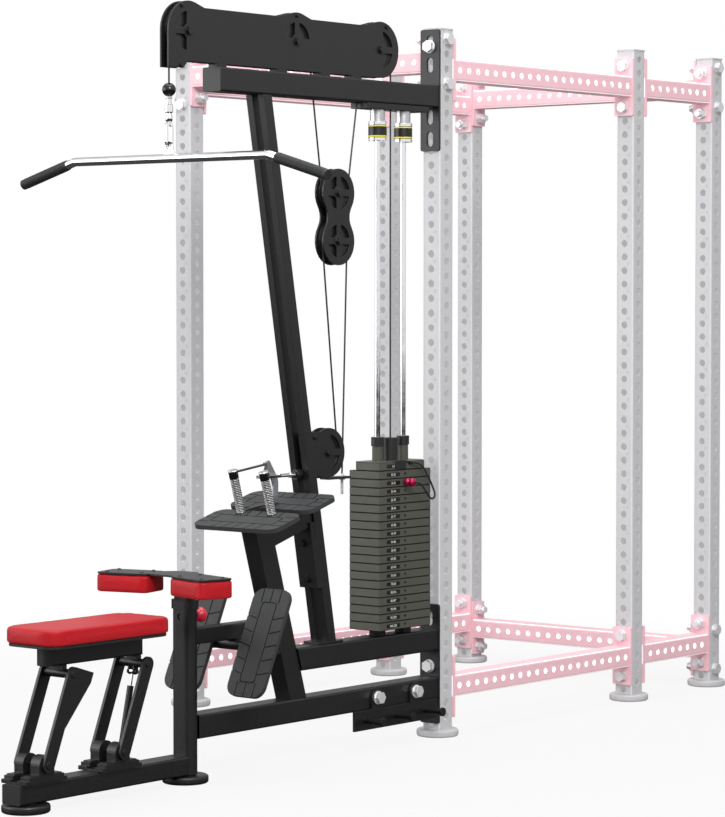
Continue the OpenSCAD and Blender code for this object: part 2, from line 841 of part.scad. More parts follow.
module cross_rail(x, z) {
  translate([x, 0, z]) rotate([0, 0, 90]) rail(cage_w, 0);
}

module top_rails_near() { side_rails(0, top_rail_z); }
module top_rails_far() { side_rails(cage_w, top_rail_z); }
module bottom_rails_near() { side_rails(0, bottom_rail_z); }
module bottom_rails_far() { side_rails(cage_w, bottom_rail_z); }
module cross_rail_front() { cross_rail(0, top_cross_z); }
module cross_rail_rear_top() { cross_rail(rear_x, top_cross_z); }
module cross_rail_rear_bottom() { cross_rail(rear_x, bottom_cross_z); }

module cage_bolt(grip, nutted) {
  tail = nutted ? washer_t + nut_h + stud_out : stub_out;
  bolt(bolt_d, grip + tail, head_af, head_h, washer_d, washer_t);
  if (nutted) translate([0, 0, grip]) nut(bolt_d, head_af, nut_h, washer_d, washer_t);
}

module frame_fasteners() {
  side_holes = [hole_n - 1, hole_n - 4, 4, 1];
  color("lightgray") {
    for (k = [hole_n - 1, 4, 1]) translate([bracket_x, 0, hole_z(k)]) rotate([0, 90, 0])
      cage_bolt(bracket_t + tube_w + flange_t, false);
    for (k = side_holes) translate([-half_w, cage_w, hole_z(k)]) rotate([0, 90, 0])
      cage_bolt(tube_w + flange_t, false);
    for (k = side_holes) for (y = [0, cage_w]) {
      translate([mid_x - half_w - flange_t, y, hole_z(k)]) rotate([0, 90, 0])
        cage_bolt(tube_w + 2 * flange_t, false);
      translate([rear_x + half_w, y, hole_z(k)]) rotate([0, -90, 0])
        cage_bolt(tube_w + flange_t, true);
    }
    for (k = [hole_n - 0.5, hole_n - 3.5]) cross_bolts(0, k);
    for (k = [hole_n - 0.5, hole_n - 3.5, 3.5, 0.5]) cross_bolts(rear_x, k);
    for (i = [0, 1]) translate([-peg_bolt_x - i * peg_bolt_pitch, -beam_half - peg_plate_t, peg_bolt_z])
      rotate([-90, 0, 0]) cage_bolt(peg_plate_t + beam_w, true);
  }
}

module cross_bolts(x, k) {
  translate([x, -half_w, hole_z(k)]) rotate([-90, 0, 0]) cage_bolt(tube_w + flange_t, true);
  translate([x, cage_w + half_w, hole_z(k)]) rotate([90, 0, 0]) cage_bolt(tube_w + flange_t, true);
}

// ---- Station frame

module bracket_plate(z0, z1) {
  translate([bracket_x, 0, (z0 + z1) / 2]) rotate([90, 0, 90])
    linear_extrude(bracket_t) polygon(rrect(bracket_w, z1 - z0, 8));
}

module bracket_slot(z) {
  translate([bracket_x - 1, 0, z]) rotate([90, 0, 90])
    linear_extrude(bracket_t + 2) polygon(obround(slot_w, slot_l));
}

module top_beam() {
  slot_up = slot_l / 2 - slot_w / 2 - 0.4;
  color([0.13, 0.13, 0.13]) difference() {
    union() {
      bracket_plate(cage_h - upper_bracket_l, cage_h);
      tube_x(-beam_x, bracket_x + bracket_t / 2, beam_z + beam_half, beam_w, beam_w, beam_t, beam_r);
      translate([-stack_x, 0, beam_z - guide_plate_t]) linear_extrude(guide_plate_t)
        polygon(rrect(guide_plate_l, beam_w, 4));
    }
    for (k = [hole_n - 1, hole_n - 2.5, hole_n - 6, hole_n - 7.5]) bracket_slot(hole_z(k) + slot_up);
    at_rods() translate([0, 0, beam_z - guide_plate_t - 1])
      cylinder(d = rod_d + 0.2, h = guide_plate_t + 1);
    for (x = [cable_x(middle_c, -pulley_r, lat_heading_1), cable_x(rear_c, -pulley_r, lat_heading_2)])
      translate([x, 0, beam_z - 1]) linear_extrude(beam_w + 2) rotate([0, 0, 90])
      polygon(obround(cable_slot_w, cable_slot_l));
    translate([-stack_x, 0, beam_z - guide_plate_t - 1]) cylinder(d = cable_slot_w, h = beam_w + guide_plate_t + 2);
  }
}

// Where a cable run off a pulley crosses the middle of the top beam
function cable_x(c, q, t) =
  let (p = c - q * [-sin(t), cos(t)]) p[0] + (beam_z + beam_half - p[1]) / tan(t);

module at_rods() {
  for (s = [-1, 1]) translate([-stack_x + s * rod_span / 2, 0, 0]) children();
}

module base_tubes() {
  rear = bracket_x + bracket_t / 2;
  cut = [[platform_rear(upper_tube_z - 30) - 400, upper_tube_z - 30],
    [platform_rear(upper_tube_z - 30), upper_tube_z - 30],
    [platform_rear(upper_tube_top + 30), upper_tube_top + 30],
    [platform_rear(upper_tube_top + 30) - 400, upper_tube_top + 30]];
  color([0.13, 0.13, 0.13]) difference() {
    union() {
      bracket_plate(lower_bracket_z, lower_bracket_top);
      tube_x(-thigh_x + thigh_d / 2, rear, lower_tube_z + beam_half, beam_w, beam_w, beam_t, beam_r);
      difference() {
        tube_x(platform_front(upper_tube_z), rear, upper_tube_z + beam_half,
          beam_w, beam_w, beam_t, beam_r);
        slab(cut, -beam_w, beam_w);
      }
    }
    bracket_slot(hole_z(7) + slot_w / 2);
    for (k = [1, 4]) rod_x(bracket_x - 1, -half_w + 1, 0, hole_z(k), hole_d);
    for (i = [0, 1])
      rod_y([-peg_bolt_x - i * peg_bolt_pitch, peg_bolt_z], -beam_w, beam_w, hole_d);
  }
}

module main_post() {
  lean = tan(post_lean);
  wall = post_t / cos(post_lean);
  outer = [[post_front(beam_z), beam_z], [post_front(post_foot_z), post_foot_z],
    [post_rear(post_foot_z), post_foot_z], [post_rear(beam_z), beam_z]];
  inner = [[post_front(beam_z + 1) + wall, beam_z + 1], [post_front(post_foot_z - 1) + wall, post_foot_z - 1],
    [post_rear(post_foot_z - 1) - wall, post_foot_z - 1], [post_rear(beam_z + 1) - wall, beam_z + 1]];
  color([0.13, 0.13, 0.13]) {
    mirror_y() difference() {
      slab(outer, post_y - post_w / 2, post_y + post_w / 2);
      slab(inner, post_y - post_w / 2 + post_t, post_y + post_w / 2 - post_t);
    }
    translate([(post_front(post_foot_z) + post_rear(post_foot_z)) / 2, 0, upper_tube_top])
      linear_extrude(post_base_t) polygon(rrect(post_base_l, 2 * post_w + post_slot, 6));
  }
}

module platform_frame() {
  low = lower_tube_top;
  wall = platform_t / cos(platform_lean);
  // Post outline, cut by the tread's slope at its top
  post_top_f = slope_meet(0);
  post_top_r = slope_meet(platform_run);
  in_f = slope_meet(wall);
  in_r = slope_meet(platform_run - wall);
  tube_v = platform_tube_h / cos(platform_tilt);
  tube_wall = platform_t / cos(platform_tilt);
  x0 = post_top_r[0] - 4;
  meet_top = post_meet(0);
  meet_low = post_meet(-tube_v);
  s_top = meet_low[1] + 10;
  splice = [[post_front(s_top), s_top], [post_front(s_top) - splice_t / cos(post_lean), s_top],
    [post_front(splice_z) - splice_t / cos(post_lean), splice_z], [post_front(splice_z), splice_z]];
  color([0.13, 0.13, 0.13]) difference() {
    union() {
      difference() {
        slab([[platform_front(low), low], [platform_rear(low), low], post_top_r, post_top_f],
          -platform_w / 2, platform_w / 2);
        slab([[platform_front(low) + wall, low - 1], [platform_rear(low) - wall, low - 1],
          in_r - [0, platform_t], in_f - [0, platform_t]],
          -platform_w / 2 + platform_t, platform_w / 2 - platform_t);
      }
      slab([[x0, slope_z(x0) - tube_v], meet_low, meet_top, [x0, slope_z(x0)]],
        -platform_w / 2, platform_w / 2);
      slab(splice, -post_y - post_w / 2, post_y + post_w / 2);
    }
    slab([[x0 + 6, slope_z(x0 + 6) - tube_v + tube_wall], meet_low + [1, tube_wall],
      meet_top + [1, -tube_wall], [x0 + 6, slope_z(x0 + 6) - tube_wall]],
      -platform_w / 2 + platform_t, platform_w / 2 - platform_t);
    for (z = splice_bolts) translate([post_front(z), 0, z]) rotate([0, -post_lean, 0])
      translate([-splice_t - 5, 0, 0]) rotate([0, 90, 0]) cylinder(d = splice_bolt_d + 0.4, h = splice_t + 6);
  }
}

// Point of the tread's slope on the platform post, a distance behind its front face
function slope_meet(run) =
  let (a = tan(platform_tilt), b = tan(platform_lean),
    x = (-platform_post_x + run + b * a * tread_under[0]) / (1 + a * b) )
  [x, slope_z(x)];

// Point of the main post's front face on the tread's slope, shifted in height
function post_meet(dz) =
  let (a = tan(platform_tilt), b = tan(post_lean),
    x = (-post_x + b * (beam_z - dz - tread_under[1] + a * tread_under[0])) / (1 + a * b))
  [x, slope_z(x) + dz];

splice_bolt_d = 12;
splice_bolts = [splice_z + 34, splice_z + 154];
peg_bolt_z = lower_tube_z + beam_half + 1;

module seat_rail() {
  color([0.13, 0.13, 0.13])
    tube_x(-rail_x, -thigh_x - thigh_d / 2, rail_z + rail_h / 2, rail_w, rail_h, beam_t, beam_r);
}

module thigh_post() {
  barrel_x = -thigh_x + thigh_d / 2;
  color([0.16, 0.16, 0.17]) difference() {
    translate([-thigh_x, 0, rail_z]) linear_extrude(thigh_top - rail_z) difference() {
      polygon(obround(thigh_d, thigh_w));
      polygon(obround(thigh_d - 2 * thigh_t, thigh_w - 2 * thigh_t));
    }
    rod_x(-thigh_x, barrel_x + 1, 0, pull_z, pull_pin_d + 1);
    rod_x(-thigh_x - thigh_d, -thigh_x, 0, pull_z, 20);
  }
  color("silver") difference() {
    rod_x(barrel_x, barrel_x + barrel_l, 0, pull_z, 20);
    rod_x(barrel_x - 1, barrel_x + barrel_l + 1, 0, pull_z, pull_pin_d + 1);
  }
}

pull_pin_d = 10;
barrel_l = 20;

module foot_brace() {
  cut = 4 * brace_w;
  color([0.13, 0.13, 0.13]) {
    union() {
      difference() {
        tube_x(-thigh_x + thigh_d / 2, platform_rear(brace_z), brace_z, brace_w, brace_w, platform_t, 5);
        slab([[platform_front(brace_z - 40), brace_z - 40], [platform_front(brace_z - 40) + cut, brace_z - 40],
          [platform_front(brace_z + 40) + cut, brace_z + 40], [platform_front(brace_z + 40), brace_z + 40]],
          -brace_w, brace_w);
      }
      rod_y(cross_tube_c, -cross_tube_l, cross_tube_l, cross_tube_d);
      mirror_y() backing_plate();
    }
  }
}

module backing_plate() {
  at_foot_plate() translate([0, 0, -tread_t - backing_t])
    linear_extrude(backing_t) polygon(rrect(tread_w - 50, tread_l - 120, 12));
}

// Frame of a foot plate: +Z out of its face, +Y up its length
module at_foot_plate() {
  translate([foot_plate_c[0], foot_plate_y, foot_plate_c[1]]) rotate([0, foot_plate_lean, 0])
    rotate([0, -90, 0]) rotate([0, 0, -90]) children();
}

// Rubber tread with a bare panel in a ring groove and cross grooves to its edge
module tread() {
  ring = groove_w + 0.01;
  rows = floor(panel_l / groove_pitch / 2);
  cols = floor(tread_w / groove_pitch / 2);
  translate([0, 0, -tread_t]) difference() {
    linear_extrude(tread_t) polygon(rrect(tread_w, tread_l, tread_r, 6));
    translate([0, 0, tread_t - groove_d]) {
      linear_extrude(groove_d + 1) difference() {
        polygon(rrect(panel_w + 2 * groove_w, panel_l + 2 * groove_w, 10));
        polygon(rrect(panel_w, panel_l, 8));
      }
      for (s = [-1, 1]) for (i = [-rows : rows]) {
        translate([s * (panel_w / 2 + tread_w) / 2 + s * ring / 2, i * groove_pitch, 0])
          rotate([0, 0, s * 14]) translate([0, 0, (groove_d + 1) / 2])
          cube([tread_w - panel_w / 2, groove_w, groove_d + 1], center = true);
      }
      for (s = [-1, 1]) for (x = [-1, 0, 1]) {
        translate([x * groove_pitch * 0.8, s * (panel_l / 2 + tread_l) / 2 + s * ring / 2, (groove_d + 1) / 2])
          cube([groove_w, tread_l - panel_l / 2, groove_d + 1], center = true);
      }
    }
  }
}

module tread_plates() {
  color([0.3, 0.31, 0.32]) {
    for (c = [tread_a, tread_b]) translate([c[0], 0, c[1]]) rotate([0, -platform_tilt, 0]) tread();
    mirror_y() at_foot_plate() tread();
  }
}

module peg_bracket() {
  z0 = peg_plate_z;
  z1 = peg_plate_z + peg_plate_h;
  x1 = -peg_plate_x;
  x0 = x1 - peg_plate_l;
  y1 = -beam_half;
  y0 = y1 - peg_plate_t;
  peg_z = z0 + peg_plate_h / 2;
  tab_r = washer_d / 2 + 8;
  color([0.13, 0.13, 0.13]) {
    difference() {
      union() {
        slab([[x0, z0], [x1, z0], [x1, z1], [x0, z1]], y0, y1);
        for (i = [0, 1]) let (x = -peg_bolt_x - i * peg_bolt_pitch)
          slab(concat([[x + tab_r, z0 + 5]], arc([x, peg_bolt_z], tab_r, 0, 180, 14), [[x - tab_r, z0 + 5]]), y0, y1);
      }
      for (i = [0, 1])
        rod_y([-peg_bolt_x - i * peg_bolt_pitch, peg_bolt_z], y0 - 1, y1 + 1, hole_d);
    }
    for (i = [0 : 2]) translate([-peg_x - i * peg_pitch, y0, peg_z]) rotate([90, 0, 0]) {
      cylinder(d = peg_d, h = peg_l - 6);
      translate([0, 0, peg_l - 7]) cylinder(d = peg_cap_d, h = 7);
    }
  }
}

// ---- Pulleys and cables

function housing_outline() =
  let (ramp_x = plate_r - 5, ramp_r = plate_r * 0.745, top = front_c[1] + plate_top,
    low = front_c[1] - plate_r, guard = front_c[1] - guard_z)
  concat(
    [[front_c[0] - plate_r, guard], [front_c[0] - 27, guard], [front_c[0] - 6, low]],
    arc(rear_c, plate_r, -90, touch_angle(-ramp_x, plate_top, plate_r) + 0, 24),
    [[rear_c[0] - ramp_x, top], [middle_c[0] + ramp_r, top]],
    arc(middle_c, plate_r, touch_angle(ramp_r, plate_top, plate_r),
      touch_angle(-ramp_x, plate_top, plate_r), 8),
    [[middle_c[0] - ramp_x, top], [front_c[0] + ramp_r, top]],
    arc(front_c, plate_r, touch_angle(ramp_r, plate_top, plate_r), 180, 16));

module windows(c, quadrants, r) {
  for (q = quadrants) translate([c[0], 0, c[1]]) rotate([0, -90 * q, 0])
    slab(window(r, spoke_w / 2, hub_r), -outer_y - 1, outer_y + 1);
}

module plate_pair() {
  difference() {
    children();
    translate([-2 * beam_x, -inner_y, 0]) cube([2 * beam_x, 2 * inner_y, 2 * cage_h]);
  }
}

module pulley_housing() {
  feet_x = [front_x - 150, middle_x + 73, middle_x - 142, rear_pulley_x + 125];
  foot_z = axle_h - plate_r;
  color([0.15, 0.15, 0.15]) {
    plate_pair() difference() {
      slab(housing_outline(), -outer_y, outer_y);
      windows(front_c, [1, 2], window_r);
      windows(middle_c, [0, 1], window_r);
      windows(rear_c, [0, 3], window_r);
      for (c = [front_c, middle_c, rear_c]) rod_y(c, -outer_y - 1, outer_y + 1, axle_d + 0.2);
      for (c = housing_keepers) rod_y(c, -outer_y - 1, outer_y + 1, keeper_d + 0.2);
    }
    for (x = feet_x) translate([-x - 22.5, -outer_y, beam_top]) cube([45, 2 * outer_y, foot_z - beam_top]);
  }
}

function polar(c, r, a) = c + r * [cos(a), sin(a)];
housing_keepers = [polar(front_c, keeper_r, 112), polar(middle_c, keeper_r, 90),
  polar(rear_c, keeper_r, 68), front_c + [-36, 8 - guard_z]];

// Axle bolt through a pair of plates, with hub washers
module axle_bolt(c) {
  translate([c[0], -outer_y, c[1]]) rotate([-90, 0, 0])
    bolt(axle_d, 2 * outer_y + 10, bolt_head_af, bolt_head_h, 32, 2);
  translate([c[0], outer_y, c[1]]) rotate([-90, 0, 0]) nut(axle_d, bolt_head_af, bolt_head_h, 32, 2);
}

module keeper(c) {
  translate([c[0], -outer_y, c[1]]) rotate([-90, 0, 0])
    bolt(keeper_d, 2 * outer_y + 8, 13, 5, 15, 1);
  translate([c[0], outer_y, c[1]]) rotate([-90, 0, 0]) nut(keeper_d, 13, 5, 15, 1);
}

module station_bolts() {
  color([0.2, 0.2, 0.2]) {
    for (c = [front_c, middle_c, rear_c, low_c]) axle_bolt(c);
    for (c = housing_keepers) keeper(c);
    for (c = low_keepers) keeper(c);
    for (z = splice_bolts) translate([post_front(z), 0, z]) rotate([0, -post_lean, 0]) {
      translate([-splice_t, 0, 0]) rotate([0, 90, 0])
        bolt(splice_bolt_d, splice_t + post_depth + 20, 19, 8, 26, 2);
      translate([post_depth, 0, 0]) rotate([0, 90, 0]) nut(splice_bolt_d, 19, 10, post_slot + 22, 4);
    }
  }
}

module pulley(c, r) {
  bore = axle_d + 2 * axle_clear;
  rim = r + rim_h;
  seat = r - cable_r - groove_gap;
  h = pulley_w / 2;
  color([0.12, 0.12, 0.12]) translate([c[0], 0, c[1]]) rotate([90, 0, 0]) rotate_extrude($fn = 64)
    polygon([[bore / 2, -h], [18, -h], [20, -h + 4], [r - 14, -h + 4], [r - 12, -h], [rim, -h],
      [rim, -h + 4], [seat + 1, -cable_r - 0.6], [seat, -cable_r + 1], [seat, cable_r - 1],
      [seat + 1, cable_r + 0.6], [rim, h - 4], [rim, h], [r - 12, h], [r - 14, h - 4], [20, h - 4],
      [18, h], [bore / 2, h]]);
}

module front_pulley() { pulley(front_c, pulley_r); }
module middle_pulley() { pulley(middle_c, pulley_r); }
module rear_pulley() { pulley(rear_c, pulley_r); }
module upper_block_pulley() { pulley(block_top_c, block_pulley_r); }
module lower_block_pulley() { pulley(block_low_c, block_pulley_r); }
module low_pulley() { pulley(low_c, low_pulley_r); }

function block_outline() =
  let (h = block_span / 2,
    f = (waist * waist + h * h - block_r * block_r) / (2 * (block_r - waist)),
    a = atan2(h, waist + f), mid = (block_top_c + block_low_c) / 2)
  concat(
    arc(block_top_c, block_r, -a, 180 + a, 20),
    arc(mid - [waist + f, 0], f, a, -a, 6),
    arc(block_low_c, block_r, 180 - a, 360 + a, 20),
    arc(mid + [waist + f, 0], f, 180 + a, 180 - a, 6));

module block_plates() {
  color([0.15, 0.15, 0.15]) plate_pair() difference() {
    slab(block_outline(), -outer_y, outer_y);
    windows(block_top_c, [0 : 3], block_pulley_r - 8);
    windows(block_low_c, [0 : 3], block_pulley_r - 8);
    for (c = [block_top_c, block_low_c]) rod_y(c, -outer_y - 1, outer_y + 1, axle_d + 0.2);
  }
  color([0.2, 0.2, 0.2]) {
    axle_bolt(block_top_c);
    axle_bolt(block_low_c);
  }
}

low_keepers = [polar(low_c, low_plate_r + 5, 142), polar(low_c, low_plate_r + 5, 242)];

module low_pulley_bracket() {
  z1 = low_z + low_plate_r * 0.86;
  z0 = low_z - low_plate_r;
  anchor_x = -block_x + block_pulley_r - 26;
  tab_z = low_z - low_plate_r - 8;
  color([0.15, 0.15, 0.15]) {
    plate_pair() difference() {
      slab(concat([[post_rear(z1), z1], [post_rear(z0), z0]],
        arc(low_c, low_plate_r, -90, 120, 24)), -outer_y, outer_y);
      windows(low_c, [0, 3], low_pulley_r - 6);
      rod_y(low_c, -outer_y - 1, outer_y + 1, axle_d + 0.2);
      for (c = low_keepers) rod_y(c, -outer_y - 1, outer_y + 1, keeper_d + 0.2);
    }
    difference() {
      translate([-low_x, -outer_y, tab_z]) cube([anchor_x + low_x + 24, 2 * outer_y, 8]);
      translate([anchor_x, 0, tab_z - 1]) cylinder(d = 11, h = 10);
    }
  }
}

anchor_c = [-block_x + block_pulley_r - 26, low_z - low_plate_r - 8];

lat_heading_1 = heading(middle_c, -pulley_r, block_top_c, block_pulley_r);
lat_heading_2 = heading(block_top_c, block_pulley_r, rear_c, -pulley_r);
row_heading_1 = heading(low_c, low_pulley_r, block_low_c, -block_pulley_r);
row_heading_2 = heading(block_low_c, -block_pulley_r, anchor_c, 0);

module lat_cable() {
  color("dimgray") sweep(in_plane(concat(
    [[drop_x, ball_z + ball_d / 2 * ball_flat + 0.1]],
    wrap(front_c, -pulley_r, 90, 0, 8),
    wrap(middle_c, -pulley_r, 0, lat_heading_1, 8),
    wrap(block_top_c, block_pulley_r, lat_heading_1, lat_heading_2, 14),
    wrap(rear_c, -pulley_r, lat_heading_2, -90, 14),
    [[-stack_x, stem_top]])), cable_d);
}

module row_cable() {
  color("dimgray") {
    sweep(in_plane(concat(
      [[stop_x, cable_z]],
      wrap(low_c, low_pulley_r, 0, row_heading_1, 9),
      wrap(block_low_c, -block_pulley_r, row_heading_1, row_heading_2, 16),
      [anchor_c + [0, 8]])), cable_d);
  }
  color("silver") {
    translate([anchor_c[0], 0, anchor_c[1] - anchor_l]) cylinder(d = 10, h = anchor_l + 8);
    translate([anchor_c[0], 0, anchor_c[1] - 12]) cylinder(d = 19 / cos(30), h = 12, $fn = 6);
  }
}

// ---- Lat bar

module lat_cable_end() {
  color([0.12, 0.12, 0.12]) translate([drop_x, 0, ball_z]) rotate_extrude() polygon(concat(
    [[0, -ball_d / 2 * ball_flat]],
    arc([0, 0], ball_d / 2, -asin(ball_flat), asin(ball_flat), 12),
    [[0, ball_d / 2 * ball_flat]]));
  bore = swivel_pin_d / 2 + axle_clear;
  color("silver") translate([drop_x, 0, snap_top]) rotate_extrude() polygon([
    [bore, seat_gap], [9, seat_gap], [11, 4], [11, 16], [9, 20], [9, 26], [13, 30], [13, 52], [8, 56],
    [8, swivel_l - 8], [11, swivel_l - 6], [11, swivel_l - 2], [8, swivel_l], [0, swivel_l],
    [0, 24], [bore, 24]]);
}

// Snap hook with the pin that turns in the swivel
module snap_hook() {
  w = 34;
  translate([drop_x, 0, snap_top - snap_l / 2]) rotate([90, 0, 0])
    translate([0, 0, -3.5]) linear_extrude(7) difference() {
      polygon(obround(w, snap_l));
      polygon(obround(w - 20, snap_l - 20));
    }
  translate([drop_x, 0, snap_top - 3]) cylinder(d = swivel_pin_d, h = 26);
}

module lat_bar() {
  // The bends run a little into the straight parts and are a hair thinner there
  sink = 0.6;
  thin = 0.2;
  color("silver") {
    translate([drop_x, 0, bar_z]) rotate([90, 0, 0])
      cylinder(d = bar_d, h = 2 * bar_straight, center = true);
    mirror_y() {
      translate([drop_x, bar_straight, bar_z - bar_bend_r]) rotate([90, 0, 90])
        rotate([0, 0, 90 - bar_drop - sink]) rotate_extrude(angle = bar_drop + 2 * sink)
        translate([bar_bend_r, 0]) circle(d = bar_d - thin);
      at_bar_end() cylinder(d = bar_d, h = bar_end_l);
    }
    snap_hook();
  }
  color([0.2, 0.2, 0.2]) translate([drop_x, 0, bar_z]) difference() {
    translate([-3, 0, 0]) rotate([90, 0, 90]) linear_extrude(6) polygon(concat(
      [[-22, bar_d / 2 - 3], [22, bar_d / 2 - 3]], arc([0, tab_h - 3], tab_r, 20, 160, 8)));
    translate([-4, 0, tab_h - 3]) rotate([0, 90, 0]) cylinder(d = tab_hole_d, h = 8);
  }
}

// Frame of the bar's bent end, with +Z out along it
module at_bar_end() {
  translate([drop_x, bar_straight + bar_bend_r * sin(bar_drop), bar_z - bar_bend_r * (1 - cos(bar_drop))])
    rotate([-90 - bar_drop, 0, 0]) children();
}

module lat_bar_grips() {
  color([0.25, 0.25, 0.25]) mirror_y() at_bar_end()
    translate([0, 0, bar_end_l - bar_grip_l]) difference() {
      cylinder(d = bar_grip_d, h = bar_grip_l + 4);
      translate([0, 0, -1]) cylinder(d = bar_d, h = bar_grip_l + 1);
    }
}

// ---- Row handle

module row_cable_end() {
  x0 = stop_x - stop_l;
  color([0.15, 0.15, 0.15]) rod_x(x0, stop_x, 0, cable_z, stop_d);
  color("silver") {
    rod_x(link_x1 - 4, x0, 0, cable_z, 12);
    rod_x(x0 - 26, x0 - 4, 0, cable_z, 20);
    translate([link_x1 - link_l / 2, 0, cable_z]) rotate([0, 0, 90]) translate([0, 0, -link_d / 2])
      linear_extrude(link_d) difference() {
        polygon(obround(link_w, link_l));
        polygon(obround(link_w - 2 * link_d, link_l - 2 * link_d));
      }
  }
}

module at_row() {
  translate([row_base[0], 0, row_base[1]]) rotate([0, -platform_tilt, 0]) children();
}

module row_handle() {
  w = row_grip_l;
  rod_w = [row_rod_d / 2 + 1, w - row_rod_d / 2 - 3];
  core = row_grip_d - 8;
  color("silver") at_row() {
    mirror_y() translate([0, row_y, 0]) {
      cylinder(d = core, h = w);
      translate([0, 0, w - 5]) cylinder(d = row_cap_d, h = 5);
    }
    mirror_y() for (z = rod_w) translate([0, row_y, z]) rotate([0, 90, -atan2(row_y, strap_back)])
      cylinder(d = row_rod_d, h = norm([row_y, strap_back]));
    slab([[strap_back - strap_w / 2, 0], [strap_back + strap_w / 2, 0],
      [strap_back + strap_bow + strap_w / 2, w / 2], [strap_back + strap_w / 2, w],
      [strap_back - strap_w / 2, w], [strap_back + strap_bow - strap_w / 2, w / 2]],
      -strap_t / 2, strap_t / 2);
  }
  color("white") at_row() mirror_y() translate([0, row_y, row_cap_l]) difference() {
    cylinder(d = row_grip_d, h = w - 2 * row_cap_l);
    translate([0, 0, -1]) cylinder(d = core, h = w);
  }
}

// ---- Weight stack

module weight_plate(i, cut) {
  w = weight_w;
  d = weight_d;
  e = weight_edge;
  c = cut ? weight_cut : e;
  translate([-stack_x, 0, stack_z + i * weight_pitch]) difference() {
    linear_extrude(weight_t) polygon([
      [-w / 2 + e, -d / 2], [w / 2 - c, -d / 2], [w / 2, -d / 2 + c], [w / 2, d / 2 - e],
      [w / 2 - e, d / 2], [-w / 2 + c, d / 2], [-w / 2, d / 2 - c], [-w / 2, -d / 2 + e]]);
    for (x = [-rod_span / 2, rod_span / 2]) translate([x, 0, -1])
      cylinder(d = rod_d + 2 * rod_clear, h = weight_t + 2);
    translate([0, 0, -1]) cylinder(d = stem_d + 2 * rod_clear, h = weight_t + 2);
    translate([0, 0, weight_t / 2]) rotate([90, 0, 0]) cylinder(d = pin_d + 2 * pin_clear, h = d);
  }
}

module resting_plates() {
  color([0.33, 0.33, 0.29]) for (i = [0 : weight_n - picked_n - 1]) weight_plate(i, false);
}

module lifted_plates() {
  color([0.33, 0.33, 0.29]) {
    for (i = [weight_n - picked_n : weight_n - 1]) weight_plate(i, i == weight_n - 1);
    at_rods() translate([0, 0, stack_top]) difference() {
      cylinder(d = rod_tube_d, h = rod_tube_h - rod_collar_h);
      translate([0, 0, -1]) cylinder(d = rod_d + 2 * rod_clear, h = rod_tube_h);
    }
  }
  color([0.12, 0.12, 0.12]) {
    at_rods() translate([0, 0, stack_top + rod_tube_h - rod_collar_h]) difference() {
      cylinder(d = rod_collar_d, h = rod_collar_h);
      translate([0, 0, -1]) cylinder(d = rod_d + 2 * rod_clear, h = rod_tube_h);
    }
    translate([-stack_x - 56, face_y - 3, stack_top - 24]) cube([58, 3, 28]);
    translate([-stack_x - 56, face_y - 3, stack_top]) cube([58, 22, 4]);
    rod_y([-stack_x + 23, stack_top - 7], face_y - 6, face_y, 10);
  }
}

module selector_stem() {
  low = stack_z + 2;
  color([0.12, 0.12, 0.12]) difference() {
    union() {
      translate([-stack_x, 0, stack_top]) cylinder(d = stem_head_d, h = stem_head_h);
      translate([-stack_x, 0, low]) cylinder(d = stem_d, h = stack_top - low + 5);
    }
    for (i = [0 : weight_n - 1])
      rod_y([-stack_x, stack_z + i * weight_pitch + weight_t / 2], -stem_d, stem_d, pin_d + 2 * pin_clear);
  }
}

module guide_rods() {
  color("silver") at_rods() translate([0, 0, rod_foot])
    cylinder(d = rod_d, h = beam_z - rod_foot);
}

module rod_collars() {
  at_rods() difference() {
    union() {
      color([0.15, 0.15, 0.15]) translate([0, 0, sleeve_top - sleeve_h]) cylinder(d = sleeve_d, h = sleeve_h);
      color("silver") translate([0, 0, sleeve_top - 1]) cylinder(d = clamp_d, h = clamp_h + 1);
    }
    translate([0, 0, sleeve_top - sleeve_h - 1]) cylinder(d = rod_d, h = sleeve_h + clamp_h + 2);
  }
}

module rod_bumpers() {
  color([0.1, 0.1, 0.1]) at_rods() translate([0, 0, rod_foot]) difference() {
    cylinder(d = bumper_d, h = stack_z - rod_foot - seat_gap);
    translate([0, 0, -1]) cylinder(d = rod_d, h = stack_z);
  }
}

module selector_pin() {
  color("red") translate([-stack_x, knob_y, pick_z]) rotate([90, 0, 0]) rotate_extrude() polygon(concat(
    [[0, 0], [knob_d * 0.3, 0]],
    arc([knob_d / 2 - knob_l / 4, knob_l / 4], knob_l / 4, -60, 60, 6),
    [[knob_d * 0.38, knob_l / 2]],
    arc([knob_d / 2 - knob_l / 4, knob_l * 0.75], knob_l / 4, -60, 90, 8),
    [[0, knob_l]]));
  color("silver") rod_y([-stack_x, pick_z], knob_y, stem_d / 2 - 1, pin_d);
}

module lanyard() {
  color("black") sweep(lanyard_route, lanyard_d);
}

// ---- Seat

module seat_pad() {
  c = [-seat_x + seat_l / 2, 0];
  color([0.8, 0.1, 0.15]) translate([c[0], c[1], seat_z])
    linear_extrude(seat_h) polygon(rrect(seat_l, seat_w, seat_r, 10));
  color([0.1, 0.1, 0.1]) translate([c[0], c[1], board_z])
    linear_extrude(board_t) polygon(rrect(seat_l - 16, seat_w - 16, seat_r - 8, 10));
}

